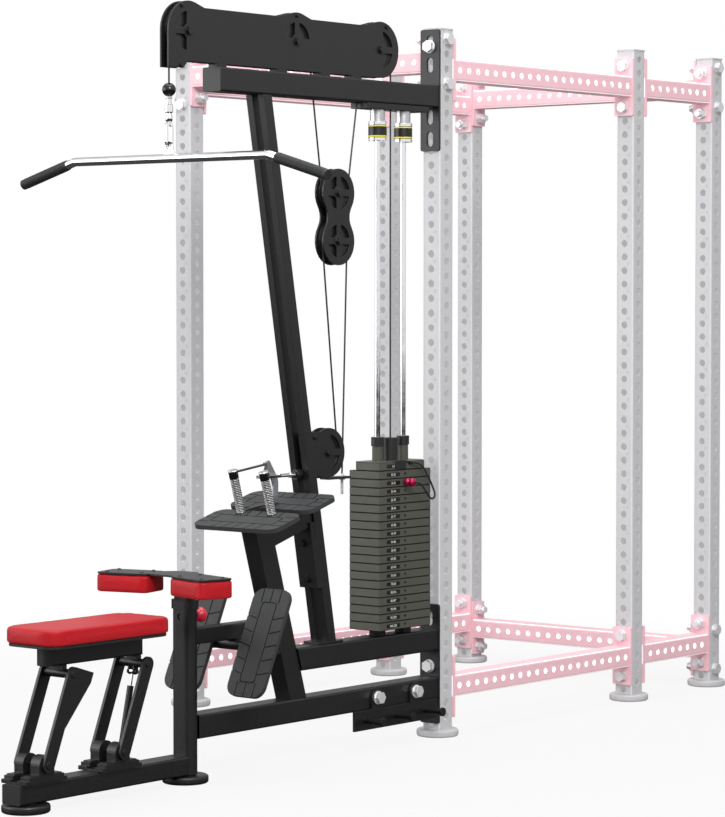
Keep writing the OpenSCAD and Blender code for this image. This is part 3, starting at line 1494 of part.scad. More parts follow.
module seat_carriage() {
  x0 = -carrier_x;
  x1 = x0 + carrier_l;
  color([0.14, 0.14, 0.14]) {
    difference() {
      union() {
        tube_x(x0, x1, carrier_z + carrier_w / 2, carrier_w, carrier_w, beam_t, 5);
        for (c = [front_top, rear_top]) {
          rod_y(c, -bush_y, bush_y, bush_d);
          translate([c[0] - 9, -carrier_w / 2 + 6, c[1]])
            cube([18, carrier_w - 12, carrier_z - c[1] + 2]);
        }
        // Clevis of the gas spring
        for (y = [-13, 9]) slab(bar_outline(gas_eye, rear_top, 20), y, y + 4);
        for (y = [-19, 13]) rod_y(gas_eye, y, y + 6, 15);
      }
      for (c = [front_top, rear_top]) rod_y(c, -bush_y - 1, bush_y + 1, pivot_d + 2 * pivot_clear);
    }
    for (s = [0, 1]) translate([s ? x1 : x0, 0, carrier_z]) mirror([s ? 0 : 1, 0, 0])
      linear_extrude(carrier_w) polygon(concat([[0, -carrier_w / 2]],
        arc([-32, 0], norm([32, carrier_w / 2]), -atan2(carrier_w / 2, 32), atan2(carrier_w / 2, 32), 8),
        [[0, carrier_w / 2]]));
  }
}

// Bar between two pivots with round ends
function bar_outline(a, b, w) =
  let (t = atan2(b[1] - a[1], b[0] - a[0]))
  concat(arc(b, w / 2, t - 90, t + 90, 10), arc(a, w / 2, t + 90, t + 270, 10));

module link_pins(low, top) {
  head = 22;
  color([0.2, 0.2, 0.2]) {
    rod_y(low, -link_in - link_t, link_in + link_t, pivot_d);
    rod_y(top, -link_in - link_t, link_in + link_t, pivot_d);
    for (c = [low, top]) for (y = [-link_in - link_t - 3, link_in + link_t]) rod_y(c, y, y + 3, head);
  }
}

module link_bars(low, top) {
  y0 = link_in;
  y1 = link_in + link_t;
  mirror_y() difference() {
    slab(bar_outline(low, top, link_bar), y0, y1);
    for (c = [low, top]) rod_y(c, y0 - 1, y1 + 1, pivot_d);
  }
}

module front_link() {
  side = [cos(link_lean), -sin(link_lean)];
  up = [sin(link_lean), cos(link_lean)];
  knee = front_low + 0.42 * link_len * up + link_bar / 2 * side;
  flare = front_top + 78 * side;
  color([0.14, 0.14, 0.14]) {
    link_bars(front_low, front_top);
    difference() {
      slab([knee, flare - 4 * up, flare + 28 * up, front_top + link_bar / 2 * up,
        front_top + (link_bar / 2 - 2) * side, knee - 6 * side], -link_in - link_t, -link_in);
      rod_y(front_top, -link_in - link_t - 1, -link_in + 1, link_bar - 6);
    }
  }
  link_pins(front_low, front_top);
}

module rear_link() {
  color([0.14, 0.14, 0.14]) link_bars(rear_low, rear_top);
  link_pins(rear_low, rear_top);
}

module hinge_block(c, pinned) {
  z0 = rail_top;
  color([0.16, 0.16, 0.16]) difference() {
    union() {
      mirror_y() {
        translate([c[0] - hinge_l / 2, ear_y - ear_w / 2, z0]) cube([hinge_l, ear_w, 12]);
        translate([c[0] - hinge_l / 2 + 12, ear_y - ear_w / 2, z0 + 11]) cube([hinge_l - 24, ear_w, 11]);
        translate([c[0] - hinge_l / 2 + 20, ear_y - ear_w / 2 + 3, z0 + 21])
          cube([hinge_l - 40, ear_w - 6, 5]);
        slab(concat([[c[0] + ear_r, z0 + 5]], arc(c, ear_r, 0, 180, 14), [[c[0] - ear_r, z0 + 5]]),
          ear_y - ear_w / 2, ear_y + ear_w / 2);
      }
      translate([c[0] - hinge_l / 2, -ear_y, z0]) cube([hinge_l, 2 * ear_y, 6]);
      if (pinned) rod_y(gas_low, -ear_y, ear_y, gas_pin_d);
    }
    rod_y(c, -link_in, link_in, pivot_d + 2 * pivot_clear);
  }
}

module hinge_blocks() {
  hinge_block(front_low, false);
  hinge_block(rear_low, true);
}

module gas_spring_body() {
  v = gas_eye - gas_low;
  a = atan2(v[0], v[1]);
  color([0.1, 0.1, 0.1]) translate([gas_low[0], 0, gas_low[1]]) rotate([0, a, 0]) difference() {
    union() {
      rotate([90, 0, 0]) cylinder(d = 16, h = 12, center = true);
      cylinder(d = 9, h = 26);
      translate([0, 0, 25]) cylinder(d = gas_d, h = norm(v) - 70);
    }
    rotate([90, 0, 0]) cylinder(d = gas_pin_d + 2 * pivot_clear, h = 14, center = true);
    translate([0, 0, 90]) cylinder(d = gas_rod_d + 2 * pivot_clear, h = norm(v));
  }
}

module gas_spring_rod() {
  v = gas_eye - gas_low;
  a = atan2(v[0], v[1]);
  color("silver") translate([gas_low[0], 0, gas_low[1]]) rotate([0, a, 0]) {
    translate([0, 0, 140]) cylinder(d = gas_rod_d, h = norm(v) - 140);
    translate([0, 0, norm(v)]) rotate([90, 0, 0]) cylinder(d = 18, h = 12, center = true);
  }
}

// ---- Thigh support

module at_thigh_pad() {
  translate([-pad_x, pad_y, 0]) rotate([0, 0, pad_toe]) children();
}

module thigh_pads() {
  color([0.8, 0.1, 0.15]) mirror_y() at_thigh_pad() translate([0, 0, pad_z])
    linear_extrude(pad_h) polygon(rrect(pad_w, pad_l, pad_r, 6));
}

module thigh_carrier() {
  edge = 8;
  color([0.14, 0.14, 0.14]) {
    union() {
      mirror_y() at_thigh_pad() translate([0, 0, pad_plate_z])
        linear_extrude(pad_plate_t) polygon(rrect(pad_w - edge, pad_l - edge, pad_r - edge / 2, 6));
      translate([0, 0, pad_plate_z]) linear_extrude(pad_plate_t) polygon([
        [-pad_x - 20, -pad_y + 40], [-pad_x - 20, pad_y - 40], [-pad_x + 60, pad_y - 60],
        [-thigh_x + thigh_d / 2, 34], [-thigh_x + thigh_d / 2, -34], [-pad_x + 60, -pad_y + 60]]);
      translate([-thigh_x, 0, carrier_low]) linear_extrude(pad_plate_z + 1 - carrier_low) difference() {
        polygon(obround(carrier_d, carrier_wy));
        polygon(obround(carrier_d - 2 * thigh_t, carrier_wy - 2 * thigh_t));
      }
    }
  }
  color([0.3, 0.3, 0.3]) {
    mirror_y() at_thigh_pad() for (x = [-38, 38]) for (y = [-62, 62])
      translate([x, y, pad_plate_z + pad_plate_t]) cylinder(d1 = 14, d2 = 9, h = 4);
  }
}

module pull_knob() {
  x0 = -thigh_x + carrier_d / 2 + seat_gap;
  x1 = -thigh_x + thigh_d / 2 + barrel_l;
  color("silver") rod_x(x0, x1 + seat_gap, 0, pull_z, pull_pin_d);
  color("red") translate([x1 + seat_gap, 0, pull_z]) rotate([0, 90, 0]) rotate_extrude() polygon([
    [0, 0], [pull_d * 0.3, 0], [pull_d * 0.32, 8], [pull_d / 2 - 2, 18], [pull_d / 2, 24],
    [pull_d / 2, 30], [pull_d / 2 - 4, 34], [0, 35]]);
}

upright_front_near();
upright_front_far();
upright_mid_near();
upright_mid_far();
upright_rear_near();
upright_rear_far();
tube_caps();
foot_discs();
top_rails_near();
top_rails_far();
bottom_rails_near();
bottom_rails_far();
cross_rail_front();
cross_rail_rear_top();
cross_rail_rear_bottom();
frame_fasteners();
top_beam();
pulley_housing();
station_bolts();
main_post();
base_tubes();
platform_frame();
seat_rail();
thigh_post();
foot_brace();
tread_plates();
peg_bracket();
front_pulley();
middle_pulley();
rear_pulley();
block_plates();
upper_block_pulley();
lower_block_pulley();
low_pulley_bracket();
low_pulley();
lat_cable();
row_cable();
lat_cable_end();
lat_bar();
lat_bar_grips();
row_cable_end();
row_handle();
guide_rods();
rod_collars();
rod_bumpers();
resting_plates();
lifted_plates();
selector_stem();
selector_pin();
lanyard();
seat_pad();
seat_carriage();
front_link();
rear_link();
hinge_blocks();
gas_spring_body();
gas_spring_rod();
thigh_pads();
thigh_carrier();
pull_knob();
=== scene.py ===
# Power cage with a lat pulldown and low row station.
import math

import bmesh
import bpy
from mathutils import Matrix, Vector


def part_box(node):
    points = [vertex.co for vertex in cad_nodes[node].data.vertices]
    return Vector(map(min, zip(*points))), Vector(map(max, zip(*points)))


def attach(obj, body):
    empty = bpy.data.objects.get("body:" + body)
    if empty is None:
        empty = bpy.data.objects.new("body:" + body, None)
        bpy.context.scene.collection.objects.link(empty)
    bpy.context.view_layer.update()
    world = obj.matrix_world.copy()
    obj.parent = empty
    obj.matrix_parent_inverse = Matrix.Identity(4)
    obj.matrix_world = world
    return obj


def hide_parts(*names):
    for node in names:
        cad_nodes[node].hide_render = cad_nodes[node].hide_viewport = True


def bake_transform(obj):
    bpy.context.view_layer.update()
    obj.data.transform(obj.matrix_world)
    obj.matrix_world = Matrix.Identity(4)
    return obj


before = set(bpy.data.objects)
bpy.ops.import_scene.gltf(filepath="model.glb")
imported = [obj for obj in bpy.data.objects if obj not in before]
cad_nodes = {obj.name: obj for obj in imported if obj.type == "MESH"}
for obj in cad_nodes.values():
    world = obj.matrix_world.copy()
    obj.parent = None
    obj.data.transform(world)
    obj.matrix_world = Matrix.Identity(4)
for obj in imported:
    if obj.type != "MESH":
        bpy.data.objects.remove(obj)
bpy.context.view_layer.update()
scene = bpy.context.scene


# ---------------------------------------------------------------- small helpers

def linear(code):
    """sRGB hex to a linear colour."""
    parts = [int(code[i:i + 2], 16) / 255 for i in (1, 3, 5)]
    return [c / 12.92 if c <= 0.04045 else ((c + 0.055) / 1.055) ** 2.4 for c in parts] + [1.0]


def node(tree, kind, inputs=None, **settings):
    """Adds a node; inputs are values or the sockets that feed them."""
    made = tree.nodes.new(kind)
    for key, value in settings.items():
        setattr(made, key, value)
    for key, value in (inputs or {}).items():
        socket = made.inputs[key]
        if isinstance(value, bpy.types.NodeSocket):
            tree.links.new(value, socket)
        else:
            socket.default_value = value
    return made


def object_from(name, mesh, smooth=35):
    """A mesh object at the origin with rounded faces smooth and its edges crisp."""
    made = bpy.data.objects.new(name, mesh)
    scene.collection.objects.link(made)
    if "custom_normal" in mesh.attributes:
        mesh.attributes.remove(mesh.attributes["custom_normal"])
    for face in mesh.polygons:
        face.use_smooth = True
    mesh.set_sharp_from_angle(angle=math.radians(smooth))
    return made


def mesh_from(name, verts, faces, smooth=35):
    mesh = bpy.data.meshes.new(name)
    mesh.from_pydata([tuple(v) for v in verts], [], faces)
    mesh.update()
    return object_from(name, mesh, smooth)


def put(piece, body, material):
    """Gives a piece its finish and sets it on its body."""
    piece.data.materials.clear()
    for m in material if isinstance(material, (list, tuple)) else [material]:
        piece.data.materials.append(m)
    if body:
        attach(piece, body)
    return piece


def solid_copy(name, node_name, keep=None):
    """A merged copy of a CAD node's mesh, or of the loose parts of it that keep(centre) accepts."""
    bm = bmesh.new()
    bm.from_mesh(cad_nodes[node_name].data)
    bmesh.ops.remove_doubles(bm, verts=bm.verts, dist=1e-6)
    if keep:
        seen, drop = set(), []
        for start in bm.faces:
            if start in seen:
                continue
            shell, todo = [], [start]
            seen.add(start)
            while todo:
                face = todo.pop()
                shell.append(face)
                for edge in face.edges:
                    for other in edge.link_faces:
                        if other not in seen:
                            seen.add(other)
                            todo.append(other)
            points = {v for face in shell for v in face.verts}
            low = [min(v.co[i] for v in points) for i in range(3)]
            high = [max(v.co[i] for v in points) for i in range(3)]
            if not keep(Vector([(a + b) / 2 for a, b in zip(low, high)])):
                drop += shell
        bmesh.ops.delete(bm, geom=drop, context="FACES")
    mesh = bpy.data.meshes.new(name)
    bm.to_mesh(mesh)
    bm.free()
    return object_from(name, mesh)


def repaint(piece, choose):
    """Sets each face's finish by its centre."""
    for face in piece.data.polygons:
        face.material_index = choose(face.center)
    return piece


def smooth_path(points, steps):
    """Catmull-Rom curve through the points."""
    points = [Vector(p) for p in points]
    ends = [2 * points[0] - points[1]] + points + [2 * points[-1] - points[-2]]
    out = []
    for a, b, c, d in zip(ends, ends[1:], ends[2:], ends[3:]):
        for i in range(steps):
            t = i / steps
            out.append(0.5 * (2 * b + (c - a) * t + (2 * a - 5 * b + 4 * c - d) * t * t
                              + (3 * b - a - 3 * c + d) * t ** 3))
    return out + [points[-1]]


def tube_along(name, points, radius, sides=12, closed=False):
    """Tube along points with a radius that may be a function of the ring's number."""
    points = [Vector(p) for p in points]
    count = len(points)
    verts, faces, side = [], [], None
    for i, p in enumerate(points):
        before = points[(i - 1) % count] if closed or i else p
        after = points[(i + 1) % count] if closed or i < count - 1 else p
        along = (after - before).normalized()
        if side is None:
            side = along.cross(Vector((0.13, 1, 0.21))).normalized()
        side = (side - along * side.dot(along)).normalized()
        up = along.cross(side)
        r = radius(i) if callable(radius) else radius
        verts += [p + r * (math.cos(a) * side + math.sin(a) * up)
                  for a in (2 * math.pi * j / sides for j in range(sides))]
    for i in range(count if closed else count - 1):
        k = (i + 1) % count
        faces += [(i * sides + j, i * sides + (j + 1) % sides, k * sides + (j + 1) % sides, k * sides + j)
                  for j in range(sides)]
    if not closed:
        faces += [tuple(reversed(range(sides))), tuple((count - 1) * sides + j for j in range(sides))]
    return mesh_from(name, verts, faces, 60)


def outline(w, d, r, n=8, scale=0.001):
    """Rounded rectangle, in metres from millimetres."""
    points = []
    for sx, sy, a0 in ((1, 1, 0), (-1, 1, 90), (-1, -1, 180), (1, -1, 270)):
        for i in range(n + 1):
            a = math.radians(a0 + 90 * i / n)
            points.append(Vector(((sx * (w / 2 - r) + r * math.cos(a)) * scale,
                                  (sy * (d / 2 - r) + r * math.sin(a)) * scale)))
    return points


# Places read off the CAD, in metres
BAR_X = -1.348                        # centre of the lat bar and its hook
STACK_X = -0.325                      # centre of the weight stack
BAY, REAR_X = 1.1684, 1.7018          # uprights' spacing, and the rear pair's distance from the front
TUBE_HALF, HOLE_PITCH = 0.0381, 0.0508

# ---------------------------------------------------------------- camera and lights

camera = bpy.data.objects.new("Camera", bpy.data.cameras.new("Camera"))
scene.collection.objects.link(camera)
camera.data.sensor_width = 36
camera.data.lens = 130.59
camera.data.clip_end = 100
camera.location = (-8.0569, -6.3311, 1.5421)
camera.rotation_euler = (math.radians(90 - 2.27), 0, math.radians(39.617 - 90))
scene.camera = camera
scene.view_settings.view_transform = "Standard"


def softbox(name, place, target, width, height, watts):
    lamp = bpy.data.objects.new(name, bpy.data.lights.new(name, "AREA"))
    lamp.data.shape = "RECTANGLE"
    lamp.data.size = width
    lamp.data.size_y = height
    lamp.data.energy = watts
    lamp.location = place
    lamp.rotation_euler = (Vector(target) - Vector(place)).to_track_quat("-Z", "Y").to_euler()
    scene.collection.objects.link(lamp)
    return lamp


softbox("Side_box", (-6.5, 5.6, 3.0), (-0.6, 0.2, 1.1), 7, 5, 290)
softbox("Key_box", (-5.2, -6.4, 6.2), (-0.4, 0.2, 1.2), 4, 3, 600)
softbox("Top_box", (-0.5, 0.2, 7.5), (-0.5, 0.2, 0), 6, 5, 380)

world = bpy.data.worlds.new("Studio")
scene.world = world
world.use_nodes = True
wt = world.node_tree
wt.nodes.clear()
rays = node(wt, "ShaderNodeLightPath")
lit = node(wt, "ShaderNodeBackground", {"Color": linear("#ffffff"), "Strength": 0.40})
shown = node(wt, "ShaderNodeBackground", {"Color": linear("#ffffff"), "Strength": 1.0})
# Polished parts mirror a studio that is bright at the front, the sides and overhead, and dimmer at the back
BACKWARDS = (0.79, 0.62, 0.0)
towards = node(wt, "ShaderNodeTexCoord").outputs["Generated"]
back = node(wt, "ShaderNodeVectorMath", {0: towards, 1: BACKWARDS}, operation="DOT_PRODUCT")
walls = node(wt, "ShaderNodeMapRange", {0: back.outputs["Value"], 1: 0.15, 2: 0.55, 3: 1.0, 4: 0.6},
             interpolation_type="SMOOTHSTEP")
height = node(wt, "ShaderNodeSeparateXYZ", {0: towards})
ceiling = node(wt, "ShaderNodeMapRange", {0: height.outputs[2], 1: 0.3, 2: 0.85, 3: 0.0, 4: 0.8},
               interpolation_type="SMOOTHSTEP")
room = node(wt, "ShaderNodeMath", {0: walls.outputs[0], 1: ceiling.outputs[0]}, operation="MAXIMUM")
mirrored = node(wt, "ShaderNodeBackground", {"Color": linear("#ffffff"), "Strength": room.outputs[0]})
first = node(wt, "ShaderNodeMixShader", {0: rays.outputs["Is Glossy Ray"], 1: lit.outputs[0],
                                         2: mirrored.outputs[0]})
both = node(wt, "ShaderNodeMixShader", {0: rays.outputs["Is Camera Ray"], 1: first.outputs[0],
                                        2: shown.outputs[0]})
node(wt, "ShaderNodeOutputWorld", {"Surface": both.outputs[0]})


# ---------------------------------------------------------------- finishes

def finish(name):
    """A new material with its tree, its shader and the place on the object."""
    made = bpy.data.materials.new(name)
    made.use_nodes = True
    tree = made.node_tree
    tree.nodes.clear()
    shader = node(tree, "ShaderNodeBsdfPrincipled")
    node(tree, "ShaderNodeOutputMaterial", {"Surface": shader.outputs[0]})
    place = node(tree, "ShaderNodeTexCoord").outputs["Object"]
    return made, tree, shader, place


def per_metre(mm):
    """Noise scale whose features are about that many millimetres."""
    return 1000 / mm


def nearest(tree, place, axis, centres):
    """Distance along one axis to the nearest of some centre lines."""
    along = node(tree, "ShaderNodeSeparateXYZ", {0: place}).outputs[axis]
    best = None
    for centre in centres:
        gap = node(tree, "ShaderNodeMath", {0: along, 1: centre}, operation="SUBTRACT")
        gap = node(tree, "ShaderNodeMath", {0: gap.outputs[0]}, operation="ABSOLUTE").outputs[0]
        best = gap if best is None else node(tree, "ShaderNodeMath", {0: best, 1: gap},
                                             operation="MINIMUM").outputs[0]
    return best


DRIFT_MM = 260       # length over which a coat's tone drifts
BORE_REACH = 0.0365  # a surface nearer than this to a tube's centre lines is inside the tube


def coat(name, colour, roughness, grain_mm, depth_mm, specular=0.5, tone=0.06, metallic=0.0, round_mm=1.2,
         spread=0.08, bore=None, inside=None, occlusion_shade=0.0):
    """Surface with a fine grain in its gloss and height, a slow drift in its tone and rounded edges.
    bore gives the centre lines of tubes whose inside glows with painted light, in the coat's colour or in
    the colour that inside gives.
    The last argument paints shade into grooves: ambient occlusion darkens their colour."""
    made, tree, shader, place = finish(name)
    grain = node(tree, "ShaderNodeTexNoise", {"Vector": place, "Scale": per_metre(grain_mm), "Detail": 3.0})
    drift = node(tree, "ShaderNodeTexNoise", {"Vector": place, "Scale": per_metre(DRIFT_MM), "Detail": 4.0})
    base = linear(colour)
    dark = [c * (1 - tone) for c in base[:3]] + [1]
    pale = [min(1, c * (1 + tone)) for c in base[:3]] + [1]
    shade = node(tree, "ShaderNodeMix", {0: drift.outputs["Fac"], 6: dark, 7: pale}, data_type="RGBA")
    speck = node(tree, "ShaderNodeMapRange", {0: grain.outputs["Fac"], 1: 0.3, 2: 0.7,
                                             3: 1 - tone, 4: 1 + tone})
    tint = node(tree, "ShaderNodeVectorMath", {0: shade.outputs[2], "Scale": speck.outputs[0]},
                operation="SCALE")
    gloss = node(tree, "ShaderNodeMapRange", {0: grain.outputs["Fac"], 1: 0.3, 2: 0.7,
                                             3: roughness - spread, 4: roughness + spread})
    corner = node(tree, "ShaderNodeBevel", {"Radius": round_mm / 1000}, samples=4)
    bump = node(tree, "ShaderNodeBump", {"Height": grain.outputs["Fac"], "Distance": depth_mm / 1000,
                                         "Strength": 0.6, "Normal": corner.outputs[0]})
    colour_out = tint.outputs[0]
    # Painted shade: ambient occlusion darkens the colour in grooves and recesses
    if occlusion_shade:
        hidden = node(tree, "ShaderNodeAmbientOcclusion", {"Distance": 0.006}, samples=6)
        shade_factor = node(tree, "ShaderNodeMapRange", {0: hidden.outputs["AO"], 1: 0.35, 2: 0.95,
                                                3: 1 - occlusion_shade, 4: 1.0})
        shaded = node(tree, "ShaderNodeVectorMath", {0: colour_out, "Scale": shade_factor.outputs[0]},
                      operation="SCALE")
        colour_out = shaded.outputs[0]
    # Painted light: inside the tubes the coat glows as emission, so that their holes show pale
    if bore:
        reach = [nearest(tree, place, axis, centres) for axis, centres in bore]
        wide = node(tree, "ShaderNodeMath", {0: reach[0], 1: reach[1]}, operation="MAXIMUM")
        inner = node(tree, "ShaderNodeMath", {0: wide.outputs[0], 1: BORE_REACH}, operation="LESS_THAN")
        glow_in = node(tree, "ShaderNodeMath", {0: inner.outputs[0], 1: 0.30 if inside is None else 0.55},
                       operation="MULTIPLY")
        if inside:
            glow_tint = node(tree, "ShaderNodeMix", {0: inner.outputs[0], 6: colour_out, 7: linear(inside)},
                         data_type="RGBA")
            colour_out = glow_tint.outputs[2]
        tree.links.new(colour_out, shader.inputs["Emission Color"])
        tree.links.new(glow_in.outputs[0], shader.inputs["Emission Strength"])
    tree.links.new(colour_out, shader.inputs["Base Color"])
    tree.links.new(gloss.outputs[0], shader.inputs["Roughness"])
    tree.links.new(bump.outputs[0], shader.inputs["Normal"])
    shader.inputs["Metallic"].default_value = metallic
    shader.inputs["Specular IOR Level"].default_value = specular
    return made


# Polyester powder coat with a fine texture, sprayed and baked: its grain is drawn at 5 mm so that it shows
black_coat = coat("Black_powder_coat", "#131314", 0.42, 5.0, 0.28, specular=0.5, tone=0.24, round_mm=2.2)


def middle(name, axis):
    """Centre of a CAD node's box along one axis."""
    low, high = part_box(name)
    return (low[axis] + high[axis]) / 2


# Centre lines of the cage's tubes, for the painted glow inside their holes
ACROSS = [middle("upright_front_near", 1), middle("upright_front_far", 1)]
LONG = [middle("upright_front_near", 0), middle("upright_mid_near", 0), middle("upright_rear_near", 0)]
grey_coat = coat("Grey_powder_coat", "#c6c6c8", 0.45, 3.0, 0.08, specular=0.4, tone=0.015,
                 bore=[(0, LONG), (1, ACROSS)])
RAILS = [middle("top_rails_near", 2), middle("bottom_rails_near", 2)]
CROSS_RAILS = [middle("cross_rail_front", 2), middle("cross_rail_rear_bottom", 2)]
# The pale pink is the colour of the painted glow inside the rails
PINK, INSIDE_GLOW_PINK = "#f4c6cf", "#f6eef0"
pink_coat = coat("Pink_powder_coat", PINK, 0.45, 3.0, 0.08, specular=0.4, tone=0.02,
                 bore=[(1, ACROSS), (2, RAILS)], inside=INSIDE_GLOW_PINK)
pink_cross = coat("Pink_powder_coat_cross", PINK, 0.45, 3.0, 0.08, specular=0.4, tone=0.02,
                  bore=[(0, LONG), (2, CROSS_RAILS)], inside=INSIDE_GLOW_PINK)
olive_coat = coat("Olive_enamel", "#4b4b43", 0.46, 5.0, 0.2, specular=0.5, tone=0.13)
# The same enamel painted near black on the chamfered rims in the gaps between the plates: painted shade that
# makes each gap a dark line
olive_painted_shade = coat("Olive_enamel_painted_shade", "#121210", 0.7, 5.0, 0.1, specular=0.2, tone=0.10)
# Cage feet: the same grey coat on solid discs
grey_disc = coat("Grey_powder_coat_disc", "#c6c6c8", 0.45, 3.0, 0.08, specular=0.4, tone=0.02)
# Dull zinc flake on the cage's bolts: pale and soft
pale_zinc = coat("Zinc_flake_coating", "#e4e4e6", 0.46, 5.0, 0.02, metallic=0.55, tone=0.04)
# Zinc plate with a clear passivate: bright, a little cloudy
zinc = coat("Zinc_plate", "#c9cacc", 0.30, 6.0, 0.02, metallic=1.0, tone=0.04)
# Chrome rolled into a pattern: its many small faces blur what it mirrors
knurled_chrome = coat("Knurled_chrome", "#f2f2f4", 0.34, 4.0, 0.02, metallic=1.0, tone=0.04)
black_oxide = coat("Black_oxide_steel", "#1d1d1e", 0.35, 3.0, 0.04, metallic=0.3, tone=0.08)
# Hard chrome, polished: nearly a mirror, with faint wipe marks
chrome = coat("Polished_chrome", "#e6e7e9", 0.10, 30.0, 0.01, metallic=1.0, tone=0.02, spread=0.05)
# Brushed aluminium plate
aluminium = coat("Brushed_aluminium", "#b4b6ba", 0.34, 1.6, 0.05, metallic=1.0, tone=0.06)
# Glass-filled nylon, moulded: even sheen with a light mould texture
nylon = coat("Moulded_nylon", "#1b1b1d", 0.38, 2.0, 0.05, tone=0.06)
cap_plastic = coat("Moulded_polyethylene", "#1a1a1b", 0.45, 2.0, 0.06, tone=0.05)
grey_cap = coat("Grey_polyethylene", "#c6c6c8", 0.5, 2.0, 0.05, tone=0.02)
# The treads' grooves get painted shade
rubber = coat("Moulded_rubber", "#303132", 0.62, 1.8, 0.25, specular=0.45, tone=0.10, occlusion_shade=0.85)
soft_rubber = coat("Black_rubber", "#232425", 0.62, 1.6, 0.12, specular=0.4, tone=0.08)
jacket = coat("Nylon_cable_jacket", "#26272a", 0.30, 2.0, 0.03, tone=0.05)
red_plastic = coat("Red_moulded_plastic", "#d8203c", 0.28, 2.5, 0.03, tone=0.04)
crimson = coat("Crimson_anodised_aluminium", "#a81848", 0.24, 3.0, 0.02, metallic=0.55, tone=0.06)
white_ink = coat("White_ink", "#f2f2f0", 0.5, 2.0, 0.0, tone=0.01)
grey_ink = coat("Grey_ink", "#a9abad", 0.5, 2.0, 0.0, tone=0.01)
label_black = coat("Label_film", "#0d0d0e", 0.35, 2.0, 0.0, tone=0.02)
yellow_film = coat("Yellow_label_film", "#e8d81c", 0.35, 2.0, 0.0, tone=0.02)
gas_black = coat("Gloss_black_enamel", "#0f0f10", 0.22, 3.0, 0.02, tone=0.04)


def vinyl():
    """Upholstery vinyl over foam: pebbled cells about 2 mm across, with painted shade in the creases between
    them, soft sheen, slightly uneven colour.
    """
    made, tree, shader, place = finish("Red_upholstery_vinyl")
    cells = node(tree, "ShaderNodeTexVoronoi", {"Vector": place, "Scale": per_metre(2.4)},
                 feature="DISTANCE_TO_EDGE")
    pores = node(tree, "ShaderNodeTexNoise", {"Vector": place, "Scale": per_metre(1.4), "Detail": 2.0})
    drift = node(tree, "ShaderNodeTexNoise", {"Vector": place, "Scale": per_metre(120), "Detail": 4.0})
    shade = node(tree, "ShaderNodeMix", {0: drift.outputs["Fac"], 6: linear("#a80a16"),
                                         7: linear("#bc0e1b")}, data_type="RGBA")
    ridge = node(tree, "ShaderNodeMapRange", {0: cells.outputs["Distance"], 1: 0.0, 2: 0.18,
                                             3: 0.0, 4: 1.0})
    # Painted shade: the colour darkens towards the creases between the cells
    shade_factor = node(tree, "ShaderNodeMapRange", {0: ridge.outputs[0], 3: 0.86, 4: 1.0})
    tint = node(tree, "ShaderNodeVectorMath", {0: shade.outputs[2], "Scale": shade_factor.outputs[0]},
                operation="SCALE")
    gloss = node(tree, "ShaderNodeMapRange", {0: pores.outputs["Fac"], 1: 0.3, 2: 0.7, 3: 0.40, 4: 0.52})
    fine = node(tree, "ShaderNodeBump", {"Height": pores.outputs["Fac"], "Distance": 0.00006,
                                         "Strength": 0.5})
    bump = node(tree, "ShaderNodeBump", {"Height": ridge.outputs[0], "Distance": 0.00016, "Strength": 0.6,
                                         "Normal": fine.outputs[0]})
    tree.links.new(tint.outputs[0], shader.inputs["Base Color"])
    tree.links.new(gloss.outputs[0], shader.inputs["Roughness"])
    tree.links.new(bump.outputs[0], shader.inputs["Normal"])
    shader.inputs["Specular IOR Level"].default_value = 0.25
    shader.inputs["Sheen Weight"].default_value = 0.06
    shader.inputs["Sheen Roughness"].default_value = 0.4
    return made


red_vinyl = vinyl()

# ---------------------------------------------------------------- stage

FAR = 40  # half of the floor's side
floor = mesh_from("Floor", [(-FAR, -FAR, 0), (FAR, -FAR, 0), (FAR, FAR, 0), (-FAR, FAR, 0)], [(0, 1, 2, 3)])
floor_paint = bpy.data.materials.new("Studio_floor")
floor_paint.use_nodes = True
ft = floor_paint.node_tree
ft.nodes.clear()
glow = node(ft, "ShaderNodeEmission", {"Color": linear("#ffffff"), "Strength": 1.0})
floor_rays = node(ft, "ShaderNodeLightPath")
floor_tone = node(ft, "ShaderNodeMix", {0: floor_rays.outputs["Is Glossy Ray"], 6: linear("#b4b4b4"),
                                        7: linear("#3c3c3c")}, data_type="RGBA")
matt = node(ft, "ShaderNodeBsdfDiffuse", {"Color": floor_tone.outputs[2]})
reach = node(ft, "ShaderNodeVectorMath", {0: node(ft, "ShaderNodeTexCoord").outputs["Object"]},
             operation="LENGTH")
far = node(ft, "ShaderNodeMapRange", {0: reach.outputs["Value"], 1: 1.6, 2: 4.2, 3: 0.88, 4: 1.0},
           interpolation_type="SMOOTHSTEP")
floor_white = node(ft, "ShaderNodeMath", {0: floor_rays.outputs["Is Camera Ray"], 1: far.outputs[0]},
                   operation="MULTIPLY")
floor_mix = node(ft, "ShaderNodeMixShader", {0: floor_white.outputs[0], 1: matt.outputs[0],
                                             2: glow.outputs[0]})
node(ft, "ShaderNodeOutputMaterial", {"Surface": floor_mix.outputs[0]})
floor.data.materials.append(floor_paint)

# ---------------------------------------------------------------- CAD nodes that keep their shape

